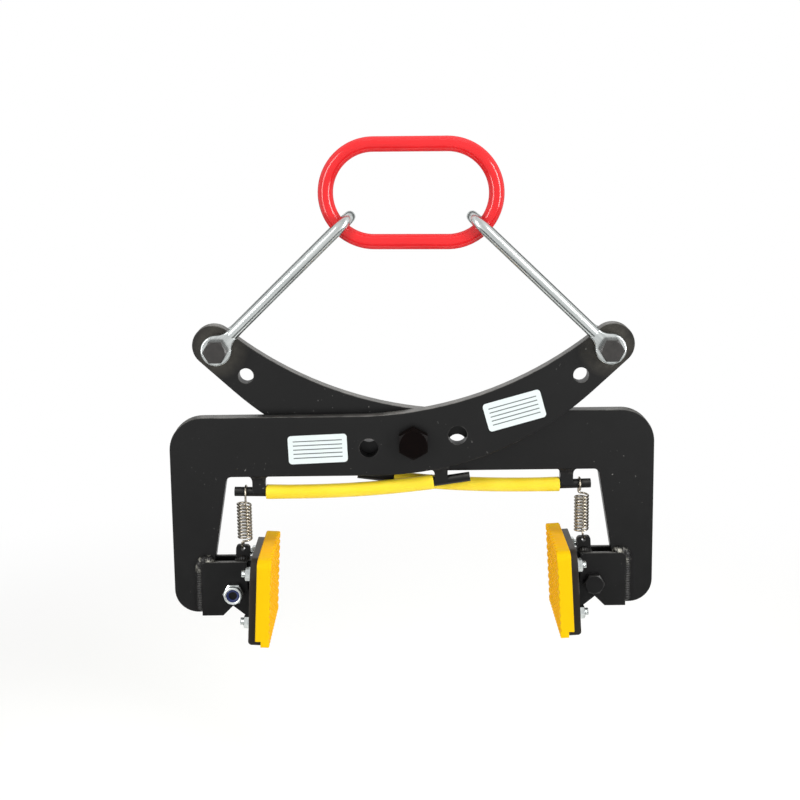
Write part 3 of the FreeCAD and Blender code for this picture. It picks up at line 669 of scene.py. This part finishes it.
def bracket_path(low, high):
    """Root of the bead on a cheek plate: up its outer edge, round the corner and along the top, with the
    direction away from the plate at each point. All points lie a corner's radius that way from the
    corner's middle, and the straight stretches are then drawn out."""
    rise_length = high[2] - bracket_corner - low[2] - bracket_bead_foot
    top_length = bracket_bead_top - bracket_corner
    up = np.linspace(-rise_length, 0, round(rise_length / bead_step))
    corner = np.linspace(np.pi, np.pi / 2, round(bracket_corner / bead_step))[1:-1]
    along = np.linspace(0, top_length, round(top_length / bead_step))
    angle = np.pad(corner, (len(up), len(along)), constant_values=(np.pi, np.pi / 2))
    out = np.stack([np.cos(angle), np.sin(angle)], -1)
    middle = np.array([low[0] + bracket_corner, high[2] - bracket_corner])
    flat = middle + bracket_corner * out
    flat[:len(up), 1] += up
    flat[-len(along):, 0] += along
    return flat, out


def upright(flat, y):
    """Points of the XZ plane at one depth."""
    return np.stack([flat[:, 0], np.full(len(flat), y), flat[:, 1]], -1)


bracket_beads = []
for cheek, towards in (("left_front_cheek", -1), ("left_rear_cheek", 1)):
    low, high = box_mm(cheek)
    flat, out = bracket_path(low, high)
    leg_face = high[1] if towards < 0 else low[1]
    bracket_beads.append(bead_shell(
        upright(flat, leg_face), upright(out, 0), (0, towards, 0), bracket_bead_width, high[1] - low[1]))
add_pair(sides, "_bracket_beads", bracket_beads, weld_finish, arms, "_bracket_welds")

# %% [markdown]
# The smaller beads hold the peg stubs under the bars, the lug on the back of each pad holder, and the
# spring tab on the lug. The stub beads run once round a rectangle, and the others are straight.

# %% Beads on pegs and jaws
stub_width = 11.0
stub_depth = 8.0
outer_stub_x = -132.0
inner_stub_x = 23.5
belly_slope = 0.205
stub_bead_reach = np.array([4.5, 1.7])
stub_bead_height = 5.0
stub_bead_steps = 96
lug_half_thickness = 5.5
lug_reach = 25.0
lug_foot = 16.0
lug_bead_width = 4.0
lug_bead_height = 1.8
tab_bead = 3.0
tab_half_thickness = 2.0
tab_low = 0.8
tab_high = 10.8
tab_foot = 27.0
arm_y = joint_places["left_jaw_tilt"][1] / mm


def stub_bead(x, height, slope):
    """A hollow bead once round a stub: a rectangle and its outward reach, on the slope of a bar's belly.
    The reach is already in the outward vectors, so the width is one."""
    out = circle(stub_bead_steps)
    square = out / np.max(np.abs(out), axis=1, keepdims=True)
    plan = square * np.array([stub_width, stub_depth]) / 2
    path = np.stack([x + plan[:, 0], arm_y + plan[:, 1], height + slope * plan[:, 0]], -1)
    reach = out * stub_bead_reach
    outwards = np.stack([reach[:, 0], reach[:, 1], slope * reach[:, 0]], -1)
    return bead_shell(path, outwards, down, width=1.0, height=stub_bead_height, closed=True, hollow=True)


def straight_bead(start, end, out, rise, width, height):
    """A bead along one straight root on the left jaw."""
    start, end = np.array(start), np.array(end)
    count = round(np.linalg.norm(end - start) / bead_step)
    path = start + (end - start) * np.linspace(0, 1, count)[:, None]
    return bead_shell(path, out, rise, width, height)


peg_beads = [
    stub_bead(outer_stub_x, box_mm("front_outer_peg")[1][2], 0),
    stub_bead(inner_stub_x, box_mm("front_inner_peg")[1][2] - belly_slope * stub_width / 2, belly_slope),
]
jaw_beads = []
for sign in (-1, 1):
    away = (0, sign, 0)
    lug_y = sign * lug_half_thickness
    tab_y = sign * tab_half_thickness
    jaw_beads += [
        straight_bead((lug_foot, lug_y, -lug_reach), (lug_foot, lug_y, lug_reach), away, (-1, 0, 0),
                      lug_bead_width, lug_bead_height),
        straight_bead((tab_low, tab_y, tab_foot), (tab_high, tab_y, tab_foot), away, (0, 0, 1),
                      tab_bead, tab_bead),
    ]
add_pair(arms, "_peg_beads", peg_beads, covered_finish, arms)
add_pair(jaws, "_beads", moved(jaw_beads, seat), covered_finish, jaws)

# %% [markdown]
# ## Bolt threads
# A bolt's end stands a few millimetres out of its nut, and a thread there tells the eye that it is a bolt.
# The radius of the end is a zigzag of the travel along the bolt minus the turn round it, one step to each
# pitch, and a cone at the tip. The sleeve sits round the CAD shank and closes over its end.

# %% The bolt finishes
def zinc_plate(name, lean=0.0, dark="#8B9191", rough_range=(0.14, 0.3)):
    """Bright zinc plate on drawn rod: pale bluish metal, streaked along a rod that leans by this angle."""
    finish, add, place = start_finish(name)
    along = add("VectorRotate", {"Vector": place, "Angle": lean}, rotation_type="Y_AXIS")
    drawn = add("Mapping", {"Vector": along, "Scale": (1.0, 1.0, 0.04)})
    streak = add("TexNoise", {"Vector": drawn, "Scale": per(2.2), "Detail": 4.0})
    cloud = add("TexNoise", {"Vector": place, "Scale": per(9), "Detail": 2.0})
    tint = add("Mix", {0: streak, 6: linear(dark), 7: linear("#EDF1EF")}, data_type="RGBA")
    rough = add("MapRange", {"Value": cloud, "To Min": rough_range[0], "To Max": rough_range[1]})
    bump = add("Bump", {"Height": cloud, "Strength": 0.06, "Distance": 0.1 * mm})
    end_finish(add, Base_Color=tint, Roughness=rough, Normal=bump, Metallic=1.0)
    return finish


def black_oxide(name, dark, light, shine):
    """Black oxide on hardened steel: a thin dark skin with an oily sheen and greyer clouds."""
    return cloudy_finish(
        name, dark, light, cloud_size=5, cloud_detail=5.0, rough_range=(0.22, 0.4),
        grain={"size": 0.7, "detail": 2.0, "strength": 0.25, "depth": 0.08}, Specular_IOR_Level=shine)


oxide_finish = black_oxide("black_oxide_steel", "#1B1A19", "#34312F", shine=0.5)
pivot_finish = black_oxide("oiled_black_oxide_steel", "#040303", "#0E0706", shine=0.04)
zinc_finish = zinc_plate("bright_zinc_plate")

# %% Make the threads
thread_depth_share = 0.16
thread_columns = 36
thread_rows_per_pitch = 12
thread_start = (0.3, 0.5, 0.8)    # a direction that no bolt has, which sets where the turn starts
tip_cone = 1.0
tip_cap = 0.15
stud_places = [(across, up) for up in (23.0, -19.0) for across in (-27.0, 27.0)]
stud_nut_face = 11.0
stud_tip = 3.0
# Thread sizes: the shank's radius and the pitch.
m6 = {"radius": 3.0, "pitch": 1.0}
m12 = {"radius": 6.0, "pitch": 1.75}
m16 = {"radius": 8.0, "pitch": 2.0}


def thread_shell(base, axis, length, radius, pitch):
    """A threaded end along an axis: radius plus a zigzag of (travel / pitch - turn), then a cone."""
    travel = np.linspace(0, length + tip_cap, round(thread_rows_per_pitch * length / pitch))[:, None]
    turn = np.arange(thread_columns) / thread_columns
    zigzag = 2 * np.abs((travel / pitch - turn) % 1 - 0.5)
    wave = radius + pitch * thread_depth_share * zigzag
    cone = radius - (travel - length + tip_cone)
    size = np.where(travel > length - tip_cone, np.minimum(wave, cone), wave)
    path = np.array(base) + travel * np.array(axis)
    return ring_shell(sweep(path, axis, size, thread_columns, thread_start))


for name, size, finish in (("left_shackle", m12, oxide_finish), ("right_shackle", m12, oxide_finish),
                           ("pivot", m16, pivot_finish)):
    low, high = box_mm(name + "_bolt")
    face = box_mm(name + "_nut")[1][1]
    middle = (low + high) / 2
    shell = thread_shell((middle[0], face, middle[2]), (0, 1, 0), high[1] - face, **size)
    thread = add_piece(name + "_bolt_thread", [shell], finish)
    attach(thread, nodes[name + "_bolt"]["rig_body"])

stud_threads = [
    thread_shell((stud_nut_face, across, up), (-1, 0, 0), stud_tip, **m6)
    for across, up in stud_places
]
add_pair(jaws, "_stud_threads", moved(stud_threads, seat), zinc_finish, jaws)

# %% [markdown]
# ## Locking nuts
# A locking nut holds a nylon ring, and its collar is rolled inwards over the ring. The bolt has not cut
# through the ring's mouth, so a blue lip shows inside the bright collar. Both are turned rings: a closed
# outline of radius and reach carried once round the bolt's axis.

# %% Make the nut collars and lips
collar_outline = np.array([
    (7.5, -0.2), (7.5, 0.3), (7.1, 0.6), (6.6, 0.65), (6.0, 0.5), (5.6, 0.1), (5.6, -0.25)])
lip_outline = np.array([(5.7, -0.9), (5.7, -0.1), (5.1, 0.0), (4.3, -0.15), (3.6, -0.5), (3.6, -0.9)])
turned_columns = 64

# Moulded nylon: deep blue and dull, with a faint mottle.
nylon_finish = cloudy_finish(
    "moulded_blue_nylon", "#101C4C", "#1D3170", cloud_size=2, cloud_detail=3.0, Roughness=0.45)
# Zinc plate on a rolled edge: paler and duller than on the rods.
collar_finish = zinc_plate("rolled_zinc_plate", dark="#D2D7D6", rough_range=(0.3, 0.45))


def turned_ring(outline, middle):
    """A closed outline of radius and reach, carried round an axis that points to the front."""
    radius, reach = outline.T[:, :, None]
    return ring_shell(sweep(middle + reach * to_front, to_front, radius, turned_columns, down), closed=True)


low, high = box_mm("left_jaw_nut")
nut_face = np.array([(low[0] + high[0]) / 2, low[1], (low[2] + high[2]) / 2])
nut_bodies = [nodes[side + "_jaw_nut"]["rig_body"] for side in sides]
for part, outline, finish, slot in (("_jaw_nut_collar", collar_outline, collar_finish, "zinc_plate"),
                                    ("_jaw_nut_lip", lip_outline, nylon_finish, "nylon")):
    add_pair(sides, part, [turned_ring(outline, nut_face)], finish, nut_bodies)

# %% [markdown]
# ## Painted plate
# The arms, cheeks, holders, lugs and pegs are flame-cut steel under satin black enamel. Such paint shows a
# faint cloudiness, dust and pale chips, and a worn line on its edges. The pale layer on open upper faces is
# partly dust and partly a painted sheen, held back near other parts as painted shade, and the grey round the
# horn bolts is partly rubbed paint and partly a painted sheen. A Bevel node gives the normal of a rounded
# edge, and where it leaves the true normal, an edge is near. Each of these marks is a layer over the paint.

# %% The paint on plates
# Reach of the open-room test: where other parts are nearer, the pale dust and painted sheen are held back as
# painted shade.
dust_and_sheen_room = 25.0
least_dust_and_sheen = 0.4
edge_radius = 1.2
# Round each horn bolt the paint is greyer: rubbed, and partly a painted sheen.
horn_place = np.abs(joint_places["left_horn_pivot"]) * np.array([1.0, 0.0, 1.0])
horn_rub_and_sheen_reach = 27.0
horn_rub_and_sheen_full = 13.0


def black_enamel(name, dark, light, dust_and_sheen_share):
    """Satin black enamel: near black, softly glossy, with rubbed edges and pale chips. Open upper faces are
    paler, partly dust and partly a painted sheen, and painted shade keeps them dark where other parts are
    near. Where a shackle's eye turns on a horn, the paint round the bolt is greyer, partly rubbed and partly
    a painted sheen."""
    finish, add, place = start_finish(name)
    cloud, patch, speck = [
        add("TexNoise", {"Vector": place, "Scale": per(size), "Detail": detail})
        for size, detail in ((40, 5.0), (9, 6.0), (3.2, 3.0))]
    paint = add("Mix", {0: cloud, 6: linear(dark), 7: linear(light)}, data_type="RGBA")
    folded = add("VectorMath", {0: place}, operation="ABSOLUTE")
    flat = add("VectorMath", {0: folded, 1: (1.0, 0.0, 1.0)}, operation="MULTIPLY")
    from_horn = add("VectorMath", {0: flat, 1: tuple(horn_place)}, operation="DISTANCE")
    facing = add("TexCoord", {}).outputs["Normal"]
    facing_up = add("SeparateXYZ", {"Vector": facing}).outputs["Z"]
    room = add("AmbientOcclusion", {"Distance": dust_and_sheen_room * mm}, samples=8).outputs["AO"]
    rounded = add("Bevel", {"Radius": edge_radius * mm}, samples=6)
    true = add("NewGeometry", {}).outputs["Normal"]
    flatness = add("VectorMath", {0: rounded, 1: true}, operation="DOT_PRODUCT")
    # Greyer round the horn bolts: rubbed paint, and partly a painted sheen.
    scuffs_and_sheen = ("#45423C", (from_horn, (horn_rub_and_sheen_reach * mm, horn_rub_and_sheen_full * mm), (0, 1)),
              (patch, (0.3, 0.65), (0.45, 1)))
    # Paler on open upper faces: dust, and partly a painted sheen from above. The occlusion mask holds it back
    # near other parts as painted shade.
    dust_and_sheen = ("#85837F", (facing_up, (0.3, 0.95), (0, 1)),
            (patch, (0.3, 0.7), (least_dust_and_sheen * dust_and_sheen_share, dust_and_sheen_share)), (room, (0.6, 0.95), (0, 1)))
    worn_edges = ("#7C7A77", (flatness, (0.99, 0.86), (0, 1)), (patch, (0.45, 0.75), (0, 0.6)))
    chips = ("#8E8D8A", (speck, (0.7, 0.75), (0, 1)), (cloud, (0.46, 0.62), (0, 0.75)))
    tint = add_layers(add, paint, (scuffs_and_sheen, dust_and_sheen, worn_edges, chips))
    rough = add("MapRange", {"Value": patch, "To Min": 0.3, "To Max": 0.48})
    bump = add_grain(add, place, size=1.1, detail=3.0, strength=0.22, depth=0.12)
    end_finish(add, Base_Color=tint, Roughness=rough, Normal=bump, Specular_IOR_Level=0.28)
    return finish


enamel_finish = black_enamel("satin_black_enamel", "#070707", "#101010", dust_and_sheen_share=0.8)
holder_finish = black_enamel("worn_black_enamel", "#1A1612", "#28231E", dust_and_sheen_share=0.1)

# %% [markdown]
# ## Pad holders and spring tabs
# A holder is a back plate with rounded upper corners and a lip that the pad stands on. It is one outline
# carried across the tongs, with its top lowered near both ends by the pad's own corner formula. The tab is
# a plate round a small hole for the spring's hook: its outer line and its hole are rings of one closed
# grid, so no cut is needed.

# %% Make the holders and tabs
holder_back = 16.0
holder_top = 37.0
holder_foot = -34.5
holder_bend = 3.0
holder_bend_steps = 7
holder_half_width = 39.0
holder_corner = 15.0
holder_corner_steps = 17
lip_reach = 4.6
tab_top = 39.0
tab_half_width = 6.0
tab_round = 3.0
tab_hole_height = 35.9
tab_hole_radius = 1.8
tab_columns = 160
tiny = 1e-9


def holder_rings():
    """The left holder as rings across its width: round the bend, along the lip and up the plate."""
    bend = np.linspace(np.pi, 1.5 * np.pi, holder_bend_steps)
    bend_points = np.stack([holder_back + holder_bend * (1 + np.cos(bend)),
                            holder_foot + holder_bend * (1 + np.sin(bend))], -1)
    lip_end = pad_back + lip_reach
    rest = [(lip_end, holder_foot), (lip_end, notch_top), (pad_back, notch_top), (pad_back, holder_top),
            (holder_back, holder_top)]
    inwards, up = np.concatenate([bend_points, rest]).T
    angle = np.linspace(0, np.pi / 2, holder_corner_steps)
    corner = holder_half_width - holder_corner * (1 - np.sin(angle))
    across = np.concatenate([-corner[::-1], corner])[:, None]
    rings = np.stack(np.broadcast_arrays(inwards, across, up), -1)
    return round_corners(rings, holder_half_width, holder_top, holder_corner)


def tab_rings():
    """The left tab as four rings: outer line and hole in front, hole and outer line behind.
    An outer point is where a ray from the hole meets the rectangle, drawn in to an arc at the top."""
    ray = circle(tab_columns)
    middle = np.array([(tab_low + tab_high) / 2, tab_hole_height])
    room_up = np.where(ray[:, 1] > 0, tab_top - tab_hole_height, tab_hole_height - tab_foot)
    room = np.stack([np.full(tab_columns, tab_half_width), room_up], -1)
    outer = ray * np.min(room / np.maximum(np.abs(ray), tiny), axis=1, keepdims=True)
    arc_middle = np.stack([np.sign(ray[:, 0]) * (tab_half_width - tab_round),
                           np.full(tab_columns, tab_top - tab_hole_height - tab_round)], -1)
    away = outer - arc_middle
    at_corner = (np.abs(outer[:, 0]) > tab_half_width - tab_round) & (away[:, 1] > 0)
    outer = np.where(at_corner[:, None], arc_middle + tab_round * unit(away), outer) + middle
    hole = tab_hole_radius * ray + middle
    rings = [(outer, -1), (hole, -1), (hole, 1), (outer, 1)]
    return np.stack([upright(line, sign * tab_half_thickness) for line, sign in rings])


holder_shells = [ring_shell(seat(holder_rings()))]
tab_shells = [ring_shell(seat(tab_rings()), closed=True)]
add_pair(sides, "_holder_plate", holder_shells, holder_finish, jaws, "_pad_holder")
add_pair(sides, "_tab_plate", tab_shells, enamel_finish, jaws, "_spring_tab")

# %% [markdown]
# ## The red link
# A lifting link is forged and powder coated. The powder melts to a thick glossy skin with a faint
# orange-peel ripple a few millimetres across, and the red is even, with a slightly deeper tone in places.

# %% The powder coat
# Gloss red powder coat: thick even colour under a clear gloss, with an orange-peel ripple.
red_finish = cloudy_finish(
    "gloss_red_powder_coat", "#DC1117", "#EE1F25", cloud_size=30, cloud_detail=3.0,
    grain={"size": 6, "detail": 1.0, "strength": 0.08, "depth": 0.15},
    Roughness=0.16, Specular_IOR_Level=0.5)

# %% [markdown]
# ## Label plates
# Two small plates on the front arm carry no words, only ruled lines, as on a blank form. The rules are
# drawn from the distance to the plate's middle, so they stay square to a plate that leans.

# %% The label finish
rule_width = 0.9
rule_pitch = 3.6
rules_half_width = 20.8
rules_half_height = 9.45
name_lean = math.radians(-2.1)
notice_lean = math.radians(-15.3)


def blank_label(name, node, lean):
    """Printed vinyl on thin plate: cool white, satin, with ruled lines in grey."""
    low, high = box_mm(node)
    middle = (low + high) / 2 * mm
    finish, add, place = start_finish(name)
    centred = add("VectorMath", {0: place, 1: tuple(middle)}, operation="SUBTRACT")
    level = add("VectorRotate", {"Vector": centred, "Angle": -lean}, rotation_type="Y_AXIS")
    parts = add("SeparateXYZ", {"Vector": level}).outputs
    ruled = add("Math", {0: parts["Z"], 1: rule_pitch / 2 * mm}, operation="PINGPONG")
    lines = add("Math", {0: ruled, 1: rule_width / 2 * mm}, operation="LESS_THAN")
    for axis, room in (("X", rules_half_width), ("Z", rules_half_height)):
        reach = add("Math", {0: parts[axis]}, operation="ABSOLUTE")
        inside = add("Math", {0: reach, 1: room * mm}, operation="LESS_THAN")
        lines = add("Math", {0: lines, 1: inside}, operation="MULTIPLY")
    tint = add("Mix", {0: lines, 6: linear("#DFE8E7"), 7: linear("#5C6464")}, data_type="RGBA")
    end_finish(add, Base_Color=tint, Roughness=0.4)
    return finish


name_finish = blank_label("name_plate_vinyl", "name_label", name_lean)
notice_finish = blank_label("notice_plate_vinyl", "notice_label", notice_lean)

# %% [markdown]
# ## Finishes on the CAD pieces
# Each CAD piece carries the name of its material slot, so most finishes go on by slot. The two shackles
# lean opposite ways, so each has its own streaks, and the centre bolt is darker than the others.

# %% Give each CAD piece its finish
shackle_lean = math.radians(45.86)
slot_finishes = {
    "link_coating": red_finish,
    "zinc_plate": zinc_finish,
    "black_paint": enamel_finish,
    "black_oxide": oxide_finish,
    "weld_steel": weld_finish,
    "spring_steel": spring_finish,
    "pad_polyurethane": pad_finish,
    "hose_polyurethane": hose_finish,
    "nylon": nylon_finish,
}
node_finishes = {
    "left_shackle": zinc_plate("left_rod_zinc_plate", -shackle_lean),
    "right_shackle": zinc_plate("right_rod_zinc_plate", shackle_lean),
    "pivot_bolt": pivot_finish,
    "left_jaw_bolt": enamel_finish,
    "right_jaw_bolt": enamel_finish,
    "name_label": name_finish,
    "notice_label": notice_finish,
}
for name, node in nodes.items():
    slot = node.material_slots[0]
    slot.material = node_finishes.get(name) or slot_finishes[slot.material.name]
print(len(nodes), "CAD pieces finished")

# %% [markdown]
# ## Floor, light and background
# The tongs hang in front of white. A pale floor lies well below them and keeps a soft shadow, and it fades
# to plain white away from them, so that no edge shows behind. The world is white to the camera and to
# reflections, and gives the surfaces less light than that, so that lamps can model the form.

# %% Build the stage
white = (1.0, 1.0, 1.0, 1.0)
floor_drop = 280.0 * mm
floor_half = 8.0
floor_glow = 0.14
floor_fade = (0.5, 1.3)
ambient_strength = 0.4


def seen_rays(add):
    """One for rays from the camera, a reflection or through glass, and zero for rays that carry light."""
    path = add("LightPath", {}).outputs
    seen = path["Is Camera Ray"]
    for kind in ("Is Glossy Ray", "Is Transmission Ray"):
        seen = add("Math", {0: seen, 1: path[kind]}, operation="MAXIMUM")
    return seen


def floor_paint():
    """Matt white studio floor that takes a shadow near the middle and turns to even white further out."""
    finish, add, place = start_finish("matt_white_floor")
    flat = add("VectorMath", {0: place, 1: (1.0, 1.0, 0.0)}, operation="MULTIPLY")
    reach = add("VectorMath", {0: flat}, operation="LENGTH")
    far = add("MapRange", {"Value": reach, "From Min": floor_fade[0], "From Max": floor_fade[1]},
              interpolation_type="SMOOTHSTEP")
    paint = add("Mix", {0: far, 6: linear("#F2F2F0"), 7: linear("#000000")}, data_type="RGBA")
    level = add("MapRange", {"Value": far, "To Min": floor_glow})
    glow = add("Math", {0: level, 1: seen_rays(add)}, operation="MULTIPLY")
    end_finish(add, Base_Color=paint, Emission_Color=white, Emission_Strength=glow, Roughness=0.9,
               Specular_IOR_Level=0.0)
    return finish


def stage_plane(name, corners, finish):
    """A flat four-cornered stage piece, which is not part of the tongs."""
    mesh = bpy.data.meshes.new(name)
    mesh.from_pydata(corners, [], [(0, 1, 2, 3)])
    mesh.materials.append(finish)
    plane = bpy.data.objects.new(name, mesh)
    scene.collection.objects.link(plane)
    return plane


floor_z = cad_low.z - floor_drop
floor_corners = [(x * floor_half, y * floor_half, floor_z) for x, y in ((-1, -1), (1, -1), (1, 1), (-1, 1))]
stage_plane("floor", floor_corners, floor_paint())

world = bpy.data.worlds.new("studio")
world.use_nodes = True
scene.world = world
world.node_tree.nodes.clear()
add = partial(add_node, world.node_tree)
strength = add("MapRange", {"Value": seen_rays(add), "To Min": ambient_strength})
light = add("Background", {"Color": white, "Strength": strength})
add("OutputWorld", {"Surface": light})
print("floor at", round(floor_z / mm, 1), "mm")

# %% [markdown]
# Two tall soft lamps stand left and right, which draws the upright lines of light on the red link. A weak
# lamp from above lights the upper edges, and one behind lifts the outline. Bright metal in an all-white
# room looks flat, so dark cards, as a photographer hangs them, give the rods dark lines. Only reflections
# see the cards.

# %% Place the lamps and the cards
object_middle = (cad_low + cad_high) / 2

# Each lamp: its place from the object's middle, its width and height in metres, and its power in watts.
lamps = {
    "left_lamp": ((-1.3, -1.1, 0.3), (0.35, 1.4), 15.0),
    "right_lamp": ((1.3, -1.1, 0.3), (0.35, 1.4), 23.0),
    "top_lamp": ((0.0, -0.3, 1.6), (1.2, 1.0), 14.0),
    "back_lamp": ((0.5, 1.6, 0.8), (1.0, 1.0), 7.0),
}
reflected_lamps = ("left_lamp", "right_lamp")
for name, (place, size, power) in lamps.items():
    lamp = bpy.data.objects.new(name, bpy.data.lights.new(name, "AREA"))
    scene.collection.objects.link(lamp)
    lamp.data.shape = "RECTANGLE"
    lamp.data.size, lamp.data.size_y = size
    lamp.data.energy = power
    lamp.visible_glossy = name in reflected_lamps
    lamp.location = object_middle + Vector(place)
    lamp.rotation_euler = (object_middle - lamp.location).to_track_quat("-Z", "Y").to_euler()

card_finish, add = start_finish("dark_card")[:2]
end_finish(add, Base_Color=linear("#000000"), Emission_Color=linear("#6A6C6C"), Emission_Strength=1.0,
           Roughness=1.0, Specular_IOR_Level=0.0)
# Each card: its reach in X, in Y, and in Z from the object's middle, in metres.
cards = {
    "back_card_left": ((-0.8, -0.3), (0.6, 0.6), (-0.46, 0.8)),
    "back_card_right": ((0.3, 0.8), (0.6, 0.6), (-0.46, 0.8)),
    "back_card_top": ((-0.3, 0.3), (0.6, 0.6), (0.42, 0.8)),
    "back_floor_card": ((-1.6, 1.6), (0.2, 0.6), (-0.46, -0.46)),
    "front_floor_card": ((-1.6, 1.6), (-0.85, -0.3), (-0.46, -0.46)),
}
for name, ((x_low, x_high), (y_low, y_high), (z_low, z_high)) in cards.items():
    near = [(x, y_low, object_middle.z + z_low) for x in (x_low, x_high)]
    far = [(x, y_high, object_middle.z + z_high) for x in (x_high, x_low)]
    card = stage_plane(name, near + far, card_finish)
    for ray in ("camera", "diffuse", "shadow", "transmission"):
        setattr(card, "visible_" + ray, False)
scene.view_settings.view_transform = "Standard"
print(len(lamps), "lamps and", len(cards), "cards placed")
